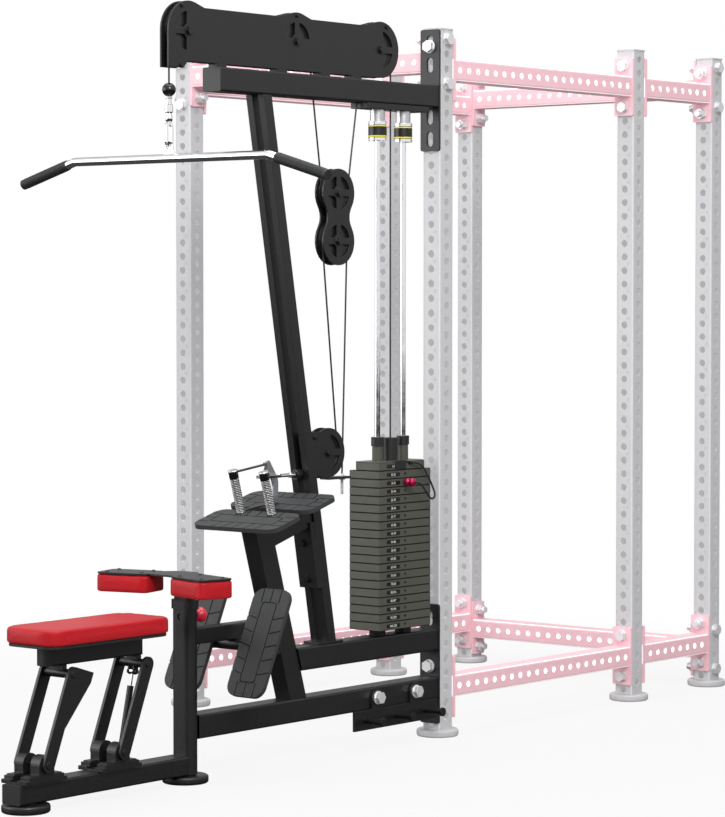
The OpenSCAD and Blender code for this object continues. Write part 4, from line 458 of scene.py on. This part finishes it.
finishes = {
    grey_coat: ["upright_front_near", "upright_front_far", "upright_mid_near", "upright_mid_far",
                "upright_rear_near", "upright_rear_far"],
    pink_coat: ["top_rails_near", "top_rails_far", "bottom_rails_near", "bottom_rails_far"],
    pink_cross: ["cross_rail_front", "cross_rail_rear_top", "cross_rail_rear_bottom"],
    pale_zinc: ["frame_fasteners"],
    black_coat: ["top_beam", "pulley_housing", "main_post", "base_tubes", "platform_frame", "seat_rail",
                 "thigh_post", "foot_brace", "peg_bracket", "block_plates", "low_pulley_bracket",
                 "seat_carriage", "front_link", "rear_link", "hinge_blocks", "thigh_carrier"],
    black_oxide: ["station_bolts"],
    nylon: ["front_pulley", "middle_pulley", "rear_pulley", "upper_block_pulley", "lower_block_pulley",
            "low_pulley"],
    rubber: ["tread_plates"],
    soft_rubber: ["rod_bumpers"],
    chrome: ["guide_rods", "gas_spring_rod"],
    gas_black: ["gas_spring_body"],
}
for material, names in finishes.items():
    for name in names:
        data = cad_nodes[name].data
        data.materials.clear()
        data.materials.append(material)

# ---------------------------------------------------------------- CAD nodes with two finishes


def two_tone(name, node_name, body, materials, choose):
    """A CAD node's copy whose faces choose between finishes."""
    piece = solid_copy(name, node_name)
    put(piece, None, materials)
    repaint(piece, choose)
    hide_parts(node_name)
    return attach(piece, body)


stack_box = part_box("resting_plates")
knob_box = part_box("selector_pin")
ball_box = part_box("lat_cable_end")
bar_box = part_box("lat_bar")
stop_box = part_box("row_cable_end")

CAGE_X = -0.5      # the cage's own feet and caps stand behind this
CAGE_CAP_Z = 2.36  # and its caps are above this
two_tone("Foot_discs", "foot_discs", "frame", [grey_disc, black_coat],
         lambda c: 0 if c.x > CAGE_X else 1)
two_tone("Tube_caps", "tube_caps", "frame", [grey_cap, cap_plastic],
         lambda c: 0 if c.z > CAGE_CAP_Z and c.x > CAGE_X else 1)

PLATE_TOP = 0.96765  # top of the head plate, without its sleeves


def ease_plates(piece, rim_shade_slot):
    """Chamfers the plates' outer rims, so that each one stands apart in the stack; the last argument is the
    slot of the finish that paints shade on the chamfers."""
    bm = bmesh.new()
    bm.from_mesh(piece.data)
    bmesh.ops.dissolve_limit(bm, angle_limit=math.radians(0.5), verts=bm.verts, edges=bm.edges,
                             delimit={"MATERIAL"})
    cx = (stack_box[0][0] + stack_box[1][0]) / 2
    half_x = (stack_box[1][0] - stack_box[0][0]) / 2
    half_y = (stack_box[1][1] - stack_box[0][1]) / 2
    rim = []
    for edge in bm.edges:
        a, b = edge.verts[0].co, edge.verts[1].co
        if abs(a.z - b.z) > 1e-5 or a.z > PLATE_TOP + 0.0002 or len(edge.link_faces) != 2:
            continue
        flat = [abs(f.normal.z) > 0.9 for f in edge.link_faces]
        outer = all(abs(p.y) > half_y * 0.75 or abs(p.x - cx) > half_x * 0.86 for p in (a, b))
        if outer and flat[0] != flat[1] and min(a.y, b.y) > -half_y - 0.0002:
            rim.append(edge)
    # The chamfers take the painted shade finish
    bmesh.ops.bevel(bm, geom=rim, offset=0.0019, segments=1, profile=0.5, affect="EDGES",
                    clamp_overlap=False, material=rim_shade_slot)
    bm.to_mesh(piece.data)
    bm.free()
    piece.data.set_sharp_from_angle(angle=math.radians(15))
    return piece


resting = solid_copy("Weight_plates", "resting_plates")
put(resting, "frame", [olive_coat, olive_painted_shade])
ease_plates(resting, 1)
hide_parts("resting_plates")
lifted = solid_copy("Upper_weight_plates", "lifted_plates")
put(lifted, "stack", [olive_coat, nylon, olive_painted_shade])
SLEEVE_RIM, ON_PLATE = 1.0195, 0.9685  # foot of the sleeves' black rims, and just over the head plate
repaint(lifted, lambda c: 1 if c.z > SLEEVE_RIM or c.y < -0.0658 or (c.z > ON_PLATE and c.y < -0.03) else 0)
ease_plates(lifted, 2)
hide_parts("lifted_plates")
two_tone("Selector_stem", "selector_stem", "stack", [nylon, chrome],
         lambda c: 0 if c.z > ON_PLATE else 1)
two_tone("Selector_pin", "selector_pin", "pin", [crimson, chrome],
         lambda c: 0 if c.y < knob_box[0][1] + 0.0402 else 1)
two_tone("Rod_collars", "rod_collars", "frame", [chrome, zinc],
         lambda c: 1 if c.z > 2.1101 else 0)
two_tone("Swivel_and_stop", "lat_cable_end", "lat_hook", [gas_black, chrome],
         lambda c: 0 if c.z > ball_box[1][2] - 0.0403 else 1)
two_tone("Lat_bar", "lat_bar", "lat_bar", [chrome, black_oxide],
         lambda c: 1 if 0.0028 < abs(c.x - BAR_X) < 0.0031 and abs(c.y) < 0.03
         and bar_box[0][2] + 0.118 < c.z < 2.006 else 0)
two_tone("Cable_stop_and_link", "row_cable_end", "row_grip", [nylon, chrome],
         lambda c: 0 if c.x > stop_box[1][0] - 0.0222 else 1)
two_tone("Pull_knob", "pull_knob", "knob", [red_plastic, chrome],
         lambda c: 0 if c.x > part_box("pull_knob")[1][0] - 0.0352 else 1)

# ---------------------------------------------------------------- cables

# Wheels' centres (x, z), the radii of the cable round them and the cable's own
FRONT, MIDDLE, REAR, LOW = (-1.275, 2.35), (-0.762, 2.35), (-0.334, 2.35), (-0.606, 1.009)
BLOCK_TOP, BLOCK_LOW = (-0.553, 1.866), (-0.553, 1.707)
R_TOP, R_BLOCK, R_LOW, CABLE = 0.073, 0.063, 0.066, 0.003


def heading(c1, q1, c2, q2):
    """Heading of the straight run from circle 1 to circle 2; q is a radius, signed by its turning sense."""
    dx, dz = c2[0] - c1[0], c2[1] - c1[1]
    return math.atan2(dz, dx) - math.asin((q2 - q1) / math.hypot(dx, dz))


def touch(c, q, t):
    """Point of a circle where a run of heading t leaves it."""
    return (c[0] + q * math.sin(t), 0, c[1] - q * math.cos(t))


def run(name, a, b, bodies, rings=40):
    """Straight cable between two points; bodies is one body that carries it, or the two it runs between, and
    then it is left in place on no body.
    """
    a, b = Vector(a), Vector(b)
    piece = tube_along(name, [a.lerp(b, i / rings) for i in range(rings + 1)], CABLE)
    put(piece, None, jacket)
    if isinstance(bodies, str):
        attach(piece, bodies)
    else:
        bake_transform(piece)
    return piece


def wrap(name, c, q, t0, t1, body):
    """Cable round a wheel, from heading t0 to t1."""
    steps = max(6, int(abs(t1 - t0) / math.radians(5)))
    piece = tube_along(name, [touch(c, q, t0 + (t1 - t0) * i / steps) for i in range(steps + 1)], CABLE)
    return put(piece, body, jacket)


half = math.pi / 2
lat_1 = heading(MIDDLE, -R_TOP, BLOCK_TOP, R_BLOCK)
lat_2 = heading(BLOCK_TOP, R_BLOCK, REAR, -R_TOP)
row_1 = heading(LOW, R_LOW, BLOCK_LOW, -R_BLOCK)
anchor = (-0.516, 0.927)
row_2 = heading(BLOCK_LOW, -R_BLOCK, anchor, 0)
ball_top = (BAR_X, 0, ball_box[1][2])
stem_top = (-0.261, 0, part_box("selector_stem")[1][2])

lat = [
    run("Lat_cable_drop", touch(FRONT, -R_TOP, half), ball_top, ("frame", "lat_hook")),
    wrap("Lat_cable_front", FRONT, -R_TOP, half, 0, "frame"),
    run("Lat_cable_top", touch(FRONT, -R_TOP, 0), touch(MIDDLE, -R_TOP, 0), "frame", 4),
    wrap("Lat_cable_middle", MIDDLE, -R_TOP, 0, lat_1, "frame"),
    run("Lat_cable_to_block", touch(MIDDLE, -R_TOP, lat_1), touch(BLOCK_TOP, R_BLOCK, lat_1),
        ("frame", "block")),
    wrap("Lat_cable_block", BLOCK_TOP, R_BLOCK, lat_1, lat_2, "block"),
    run("Lat_cable_from_block", touch(BLOCK_TOP, R_BLOCK, lat_2), touch(REAR, -R_TOP, lat_2),
        ("block", "frame")),
    wrap("Lat_cable_rear", REAR, -R_TOP, lat_2, -half, "frame"),
    run("Lat_cable_stack", touch(REAR, -R_TOP, -half), stem_top, ("frame", "stack")),
]
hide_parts("lat_cable")
cable_z = LOW[1] - R_LOW
row = [
    run("Row_cable_pull", (stop_box[1][0], 0, cable_z), touch(LOW, R_LOW, 0), ("row_grip", "frame")),
    wrap("Row_cable_low", LOW, R_LOW, 0, row_1, "frame"),
    run("Row_cable_to_block", touch(LOW, R_LOW, row_1), touch(BLOCK_LOW, -R_BLOCK, row_1),
        ("frame", "block")),
    wrap("Row_cable_block", BLOCK_LOW, -R_BLOCK, row_1, row_2, "block"),
    run("Row_cable_anchor", touch(BLOCK_LOW, -R_BLOCK, row_2), (anchor[0], 0, anchor[1]),
        ("block", "frame")),
]
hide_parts("row_cable")

# ---------------------------------------------------------------- lanyard of the selector pin

# Its route from the head plate down and round to the pin, in millimetres
LANYARD = [
    (-238, -75.5, 961), (-230, -77.5, 962), (-215, -79.5, 960), (-196, -81, 953), (-176, -82, 936),
    (-162, -84, 914), (-148, -86, 892), (-138, -88, 872), (-134, -92, 856), (-142, -98, 844),
    (-160, -105, 838), (-180, -111, 840), (-198, -115, 850), (-212, -117, 864), (-224, -116, 878),
    (-236, -116, 889), (-248, -113, 895), (-257, -111, 897)]
lanyard_path = smooth_path([(x / 1000, y / 1000, z / 1000) for x, y, z in LANYARD], 24)
# The close coils of the cord show as fine rings
lanyard = tube_along("Lanyard", lanyard_path, lambda i: 0.0035 if i % 4 < 2 else 0.0031, 12)
put(lanyard, None, soft_rubber)
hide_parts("lanyard")
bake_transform(lanyard)

# ---------------------------------------------------------------- row handle

# The handle stands on the leaning tread with a hair of clearance
TILT, TREAD_C, HANDLE_X, HAIR = math.radians(16.5), (-0.992, 0.811), -0.943, 0.0003
base_x = HANDLE_X - HAIR * math.sin(TILT)
base_z = TREAD_C[1] + (HANDLE_X - TREAD_C[0]) * math.tan(TILT) + HAIR * math.cos(TILT)
row_frame = Matrix.Translation((base_x, 0, base_z)) @ Matrix.Rotation(-TILT, 4, "Y")
GRIP_R, GRIP_L, GRIP_Y = 0.0145, 0.146, 0.066


def lathe(name, profile, sides=48, ring=False):
    """Turned piece from (radius, height) pairs; a ring's profile closes on itself."""
    verts, faces = [], []
    for r, h in profile:
        verts += [(r * math.cos(2 * math.pi * j / sides), r * math.sin(2 * math.pi * j / sides), h)
                  for j in range(sides)]
    count = len(profile)
    for i in range(count if ring else count - 1):
        k = (i + 1) % count
        faces += [(i * sides + j, i * sides + (j + 1) % sides, k * sides + (j + 1) % sides, k * sides + j)
                  for j in range(sides)]
    if not ring:
        faces += [tuple(reversed(range(sides))), tuple((count - 1) * sides + j for j in range(sides))]
    return mesh_from(name, verts, faces, 40)


def wound_sleeve(name, h0, h1, lift=0.0011, lead=0.042, starts=5):
    """Grip sleeve with five raised helical bands, and painted shade in the grooves between them."""
    around, along = 90, 170
    verts, faces, dark = [], [], []
    for i in range(along + 1):
        h = h0 + (h1 - h0) * i / along
        for j in range(around):
            turn = j / around
            phase = ((h / lead + turn) * starts) % 1.0
            r = GRIP_R - lift + lift * min(1.0, 2.2 * math.sin(math.pi * phase))
            # Painted shade: faces low in the grooves take the gloss black finish
            dark.append(phase < 0.16 or phase > 0.84)
            verts.append((r * math.cos(2 * math.pi * turn), r * math.sin(2 * math.pi * turn), h))
    for i in range(along):
        faces += [(i * around + j, i * around + (j + 1) % around, (i + 1) * around + (j + 1) % around,
                   (i + 1) * around + j) for j in range(around)]
    sleeve = mesh_from(name, verts, faces, 70)
    sleeve.data.materials.append(knurled_chrome)
    sleeve.data.materials.append(gas_black)
    for face in sleeve.data.polygons:
        face.material_index = 1 if dark[face.vertices[0]] else 0
    return sleeve


def settle(piece, matrix):
    """Moves a piece's mesh to its place, leaving the object at the origin."""
    piece.data.transform(matrix)
    return piece


# Threaded end of the row cable with its nut
thread = [(0.0045 + 0.0004 * (i % 2), -0.0600 + 0.00075 * i) for i in range(64)]
thread += [(0.0062, -0.0120), (0.0062, 0.0040), (0.0050, 0.0078), (0.0034, 0.0080)]
at_anchor = Matrix.Translation((anchor[0], 0, anchor[1]))
put(settle(lathe("Cable_stud", thread, 28), at_anchor), "frame", zinc)
nut_r = 0.0095 / math.cos(math.radians(30))
nut = [(0.0060, -0.0118), (nut_r - 0.0008, -0.0118), (nut_r, -0.0110), (nut_r, -0.0010),
       (nut_r - 0.0008, -0.0002), (0.0060, -0.0002)]
put(settle(lathe("Cable_nut", nut, 6), at_anchor), "frame", zinc)

# Plain film bands round the guide rods' sleeves
sleeve_low, sleeve_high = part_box("rod_collars")
sleeve_r = 0.031
band_steps = [0.010, 0.012, 0.017, 0.047, 0.051, 0.053]
YELLOW_LOW, YELLOW_HIGH = band_steps[1:3], band_steps[3:5]


def band_finish(centre):
    h = centre.z - sleeve_low[2]
    return 1 if any(low < h < high for low, high in (YELLOW_LOW, YELLOW_HIGH)) else 0


for band_name, band_x in (("front", sleeve_low[0] + sleeve_r), ("rear", sleeve_high[0] - sleeve_r)):
    rim = [(sleeve_r + 0.0002, h) for h in band_steps]
    profile = [(sleeve_r - 0.0002, band_steps[0])] + rim + [(sleeve_r - 0.0002, band_steps[-1])]
    film = settle(lathe("Sleeve_band_" + band_name, profile, 48, True),
                  Matrix.Translation((band_x, 0, sleeve_low[2])))
    put(film, "frame", [label_black, yellow_film])
    repaint(film, band_finish)

handle_parts = []
for side_name, s in (("far", 1), ("near", -1)):
    at = row_frame @ Matrix.Translation((0, s * GRIP_Y, 0))
    sleeve = settle(wound_sleeve("Row_grip_" + side_name, 0.006, 0.119), at)
    handle_parts.append(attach(sleeve, "row_grip"))
    band = lathe("Row_grip_band_" + side_name, [(0.0110, 0.117), (0.0150, 0.118), (0.0153, 0.120),
                 (0.0153, 0.139), (0.0150, 0.141), (0.0110, 0.142)])
    handle_parts.append(put(settle(band, at), "row_grip", gas_black))
    cap = lathe("Row_grip_cap_" + side_name, [(0.0120, 0.141), (0.0150, 0.1412), (0.0160, 0.1422),
                (0.0160, 0.1448), (0.0152, 0.1460), (0.006, 0.1460)])
    handle_parts.append(put(settle(cap, at), "row_grip", chrome))
    foot = lathe("Row_grip_foot_" + side_name, [(0.0060, 0.0002), (0.0140, 0.0002), (0.0150, 0.0012),
                 (0.0150, 0.0060), (0.0120, 0.0072)])
    handle_parts.append(put(settle(foot, at), "row_grip", chrome))
    for level, h in (("low", 0.006), ("high", 0.138)):
        a = row_frame @ Vector((0.010, s * GRIP_Y * 0.89, h))
        b = row_frame @ Vector((0.090, 0, h))
        rod = tube_along("Row_rod_%s_%s" % (level, side_name), [a, a.lerp(b, 0.5), b], 0.0038, 14)
        handle_parts.append(put(rod, "row_grip", black_oxide))

# The strap behind the grips bows back at half its height
BACK, BOW, STRAP_W, STRAP_T = 0.092, 0.024, 0.026, 0.008
left, right = [[(BACK + edge, 0.0008), (BACK + BOW + edge, GRIP_L / 2), (BACK + edge, GRIP_L)]
               for edge in (-STRAP_W / 2, STRAP_W / 2)]


def eased(points, n=10):
    """Points along a three-point line, with its corner rounded."""
    a, b, c = [Vector(p) for p in points]
    b0, b1 = b.lerp(a, 0.22), b.lerp(c, 0.22)
    bend = [(1 - t) ** 2 * b0 + 2 * t * (1 - t) * b + t * t * b1 for t in (i / n for i in range(n + 1))]
    return [a] + bend + [c]


edge_a, edge_b = eased(left), eased(right)
strap_verts, strap_faces = [], []
for p, q in zip(edge_a, edge_b):
    for u, w, y in ((p.x, p.y, -1), (p.x, p.y, 1), (q.x, q.y, 1), (q.x, q.y, -1)):
        strap_verts.append(row_frame @ Vector((u, y * STRAP_T / 2, w)))
for i in range(len(edge_a) - 1):
    for j in range(4):
        k = (j + 1) % 4
        strap_faces.append((4 * i + j, 4 * i + k, 4 * i + 4 + k, 4 * i + 4 + j))
last = 4 * (len(edge_a) - 1)
strap_faces += [(3, 2, 1, 0), (last, last + 1, last + 2, last + 3)]
strap = mesh_from("Row_strap", strap_verts, strap_faces)
strap_bm = bmesh.new()
strap_bm.from_mesh(strap.data)
bmesh.ops.recalc_face_normals(strap_bm, faces=strap_bm.faces)
strap_bm.to_mesh(strap.data)
strap_bm.free()
bevel = strap.modifiers.new("Edge", "BEVEL")
bevel.width = 0.0008
bevel.segments = 2
put(strap, "row_grip", aluminium)
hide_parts("row_handle")

# ---------------------------------------------------------------- padded pieces


def stuffed(name, size, corner, z0, z1, edges, place, cap, body, voxel=0.0045):
    """Foam pad in a vinyl cover: a block with eased edges is remeshed, blown up as cloth and eased again.
    edges are the radii of its lower and upper edge."""
    rings = []
    for i in range(7):
        a = math.radians(90 * i / 6)
        rings.append((edges[0] * (1 - math.sin(a)), z0 + edges[0] * (1 - math.cos(a))))
    for i in range(7):
        a = math.radians(90 * i / 6)
        rings.append((edges[1] * (1 - math.cos(a)), z1 - edges[1] * (1 - math.sin(a))))
    verts, faces, n = [], [], 0
    for inset, z in rings:
        loop = outline(size[0] - 2000 * inset, size[1] - 2000 * inset, max(corner - 1000 * inset, 2), 12)
        n = len(loop)
        verts += [(p.x, p.y, z) for p in loop]
    for k in range(len(rings) - 1):
        faces += [(k * n + i, k * n + (i + 1) % n, (k + 1) * n + (i + 1) % n, (k + 1) * n + i)
                  for i in range(n)]
    faces += [tuple(reversed(range(n))), tuple(range((len(rings) - 1) * n, len(rings) * n))]
    pad = mesh_from(name, verts, faces)
    pad.data.transform(place)
    remesh = pad.modifiers.new("Skin", "REMESH")
    remesh.mode = "VOXEL"
    remesh.voxel_size = voxel
    remesh.use_smooth_shade = True
    bake(pad)
    rest = [v.co.copy() for v in pad.data.vertices]
    held = pad.vertex_groups.new(name="glued")
    held.add([v.index for v in pad.data.vertices if v.co.z < z0 + 0.004], 1.0, "REPLACE")
    cloth = pad.modifiers.new("Cover", "CLOTH")
    cloth.settings.vertex_group_mass = "glued"
    cloth.settings.quality = 4
    cloth.settings.use_pressure = True
    cloth.settings.uniform_pressure_force = 3
    cloth.settings.tension_stiffness = 60
    cloth.settings.compression_stiffness = 60
    cloth.settings.bending_stiffness = 8
    cloth.settings.effector_weights.gravity = 0
    cloth.collision_settings.use_collision = False
    for step in range(1, 21):
        scene.frame_set(step)
    bake(pad)
    scene.frame_set(1)
    for v, start in zip(pad.data.vertices, rest):
        move = v.co - start
        if move.length > cap:
            v.co = start + move * (cap / move.length)
    ease = pad.modifiers.new("Ease", "SMOOTH")
    ease.factor = 0.5
    ease.iterations = 5
    bake(pad)
    finer = pad.modifiers.new("Finer", "SUBSURF")
    finer.levels = finer.render_levels = 1
    bake(pad)
    for face in pad.data.polygons:
        face.use_smooth = True
    put(pad, body, red_vinyl)
    return pad


def bake(piece):
    """Applies the piece's modifiers to its mesh."""
    bpy.context.view_layer.update()
    graph = bpy.context.evaluated_depsgraph_get()
    mesh = bpy.data.meshes.new_from_object(piece.evaluated_get(graph))
    piece.modifiers.clear()
    old, piece.data = piece.data, mesh
    bpy.data.meshes.remove(old)
    return piece


seat_low, seat_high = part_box("seat_pad")
SEAT_Z0, SEAT_Z1 = 0.495, 0.545
ROOM = 4  # taken off a pad's width and length in mm, for the swelling of its cover
seat_place = Matrix.Translation(((seat_low[0] + seat_high[0]) / 2, 0, 0))
seat_pad = stuffed("Seat_pad", (532 - ROOM, 232 - ROOM), 57, SEAT_Z0 + 0.0006, SEAT_Z1 - 0.0016,
                   (0.004, 0.0065), seat_place, 0.0013, "seat")
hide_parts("seat_pad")
board = solid_copy("Seat_board", "seat_pad", lambda c: c.z < SEAT_Z0)
put(board, "seat", cap_plastic)

PAD_Z0, PAD_Z1, PAD_X, PAD_Y, PAD_TURN = 0.599, 0.656, -1.370, 0.151, 14.4
for side_name, s in (("far", 1), ("near", -1)):
    place = Matrix.Translation((PAD_X, s * PAD_Y, 0)) @ Matrix.Rotation(math.radians(s * PAD_TURN), 4, "Z")
    pad = stuffed("Thigh_pad_" + side_name, (128 - ROOM, 190 - ROOM), 20, PAD_Z0 + 0.0016, PAD_Z1 - 0.0006,
                  (0.0060, 0.003), place, 0.0012, "thigh", voxel=0.004)
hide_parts("thigh_pads")


# ---------------------------------------------------------------- repeated trim made by node trees


def ring_tree():
    """Rings of a given radius and thickness in a row along Z."""
    tree = bpy.data.node_groups.new("Ring_row", "GeometryNodeTree")
    for label, kind, value in (("Count", "NodeSocketInt", 10), ("Pitch", "NodeSocketFloat", 0.01),
                               ("Radius", "NodeSocketFloat", 0.02), ("Thickness", "NodeSocketFloat", 0.001)):
        tree.interface.new_socket(label, in_out="INPUT", socket_type=kind).default_value = value
    tree.interface.new_socket("Finish", in_out="INPUT", socket_type="NodeSocketMaterial")
    tree.interface.new_socket("Geometry", in_out="OUTPUT", socket_type="NodeSocketGeometry")
    given = node(tree, "NodeGroupInput").outputs
    circle = node(tree, "GeometryNodeCurvePrimitiveCircle", {"Resolution": 40, "Radius": given["Radius"]})
    section = node(tree, "GeometryNodeCurvePrimitiveCircle",
                   {"Resolution": 6, "Radius": given["Thickness"]})
    ring = node(tree, "GeometryNodeCurveToMesh",
                {"Curve": circle.outputs[0], "Profile Curve": section.outputs[0]})
    step = node(tree, "ShaderNodeCombineXYZ", {2: given["Pitch"]})
    line = node(tree, "GeometryNodeMeshLine", {"Count": given["Count"], "Offset": step.outputs[0]})
    copies = node(tree, "GeometryNodeInstanceOnPoints",
                  {"Points": line.outputs[0], "Instance": ring.outputs[0]})
    real = node(tree, "GeometryNodeRealizeInstances", {0: copies.outputs[0]})
    smooth = node(tree, "GeometryNodeSetShadeSmooth", {0: real.outputs[0]})
    painted = node(tree, "GeometryNodeSetMaterial", {0: smooth.outputs[0], "Material": given["Finish"]})
    node(tree, "NodeGroupOutput", {0: painted.outputs[0]})
    return tree


def grown(name, tree, values, matrix, body, material):
    """A piece made by a node tree from named values, turned into a plain mesh in its place."""
    piece = bpy.data.objects.new(name, bpy.data.meshes.new(name))
    scene.collection.objects.link(piece)
    maker = piece.modifiers.new("Maker", "NODES")
    maker.node_group = tree
    for item in tree.interface.items_tree:
        if item.in_out == "INPUT" and item.name in values:
            maker[item.identifier] = values[item.name]
        elif item.in_out == "INPUT" and item.name == "Finish":
            maker[item.identifier] = material
    bake(piece)
    piece.data.transform(matrix)
    return put(piece, body, material)


rings = ring_tree()
grips = solid_copy("Lat_bar_grips", "lat_bar_grips")
put(grips, "lat_bar", soft_rubber)
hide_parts("lat_bar_grips")
grip_low, grip_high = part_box("lat_bar_grips")
BAR_DROP = math.radians(16)  # slope of the bar's ends
GRIP_SPAN, GRIP_RADIUS = 0.200, 0.0165
for side_name, s in (("far", 1), ("near", -1)):
    out = Vector((0, s * math.cos(BAR_DROP), -math.sin(BAR_DROP)))
    tip = Vector((BAR_X, s * (grip_high[1] - GRIP_RADIUS * math.sin(BAR_DROP)),
                  grip_low[2] + GRIP_RADIUS * math.cos(BAR_DROP)))
    start = tip - out * GRIP_SPAN
    turn = Vector((0, 0, 1)).rotation_difference(out).to_matrix().to_4x4()
    grown("Grip_ribs_" + side_name, rings,
          {"Count": 38, "Pitch": 0.005, "Radius": 0.0164, "Thickness": 0.0008},
          Matrix.Translation(start) @ turn, "lat_bar", soft_rubber)

# ---------------------------------------------------------------- plain numbers

# Each sign's points, faces, and its left and right side, at a size of 1
glyphs = {}
for sign in "0123456789-":
    text = bpy.data.curves.new("Glyph", "FONT")
    text.body = sign
    text.size = 1
    text.resolution_u = 3
    carrier = bpy.data.objects.new("Glyph", text)
    scene.collection.objects.link(carrier)
    bpy.context.view_layer.update()
    mesh = bpy.data.meshes.new_from_object(carrier.evaluated_get(bpy.context.evaluated_depsgraph_get()))
    xs = [v.co.x for v in mesh.vertices]
    glyphs[sign] = ([v.co.copy() for v in mesh.vertices], [tuple(p.vertices) for p in mesh.polygons],
                    min(xs), max(xs))
    bpy.data.objects.remove(carrier)
    bpy.data.meshes.remove(mesh)


CAP_HEIGHT, SPACING = 0.7, 0.08  # of a sign whose size is 1


def numbers(name, entries, height, material, body):
    """Numbers printed on faces: entries are (text, centre, right, up)."""
    verts, faces = [], []
    scale = height / CAP_HEIGHT
    for text, centre, right, up in entries:
        widths = [glyphs[c][3] - glyphs[c][2] for c in text]
        total = sum(widths) + SPACING * (len(text) - 1)
        x = -total / 2
        for c, wide in zip(text, widths):
            points, polys, low, _ = glyphs[c]
            base = len(verts)
            verts += [Vector(centre) + scale * ((x + p.x - low) * Vector(right)
                                                + (p.y - CAP_HEIGHT / 2) * Vector(up)) for p in points]
            faces += [tuple(base + i for i in poly) for poly in polys]
            x += wide + SPACING
    return put(mesh_from(name, verts, faces), body, material)


# Beside every second hole of the uprights, except where the station's plates cover the front near one
LIFT, HOLE_ZERO = 0.0003, 0.0435
column = []
for x, y in ((0, 0), (0, BAY), (BAY, 0), (BAY, BAY), (REAR_X, 0), (REAR_X, BAY)):
    for n in range(1, 41, 2):
        z = HOLE_ZERO + HOLE_PITCH * (n + 4.5)
        if x == 0 and y == 0 and (z < 0.47 or z > 2.0):
            continue
        column.append((str(n), (x - TUBE_HALF - LIFT, y - 0.017, z), (0, -1, 0), (0, 0, 1)))
numbers("Upright_numbers", column, 0.011, grey_ink, "frame")

FACE_Y = -0.0657
label_points = outline(70, 13, 3, 4)


def label(name, rows, body):
    """Black strips down the stack's face with a number on each."""
    verts, faces, marks = [], [], []
    for z, text in rows:
        base, n = len(verts), len(label_points)
        for y in (FACE_Y, FACE_Y - 0.0005):
            verts += [(STACK_X + p.x, y, z + p.y) for p in label_points]
        faces += [tuple(base + n + i for i in range(n))]
        faces += [(base + i, base + (i + 1) % n, base + n + (i + 1) % n, base + n + i) for i in range(n)]
        marks.append((text, (STACK_X, FACE_Y - 0.0007, z), (1, 0, 0), (0, 0, 1)))
    put(mesh_from(name + "_strips", verts, faces), body, label_black)
    numbers(name + "_numbers", marks, 0.0080, white_ink, body)


# Plates of 5 kg (11.02 lb) each, numbered by what the pin lifts there
PLATE_Z0, PLATE_PITCH, PLATE_MID = 0.401, 0.02835, 0.014
PLATES = [(PLATE_Z0 + PLATE_PITCH * i + PLATE_MID, "%d-%d" % (5 * (20 - i), round(11.02 * (20 - i))))
          for i in range(20)]
label("Stack_labels", PLATES[:17], "frame")
label("Upper_labels", PLATES[17:], "stack")
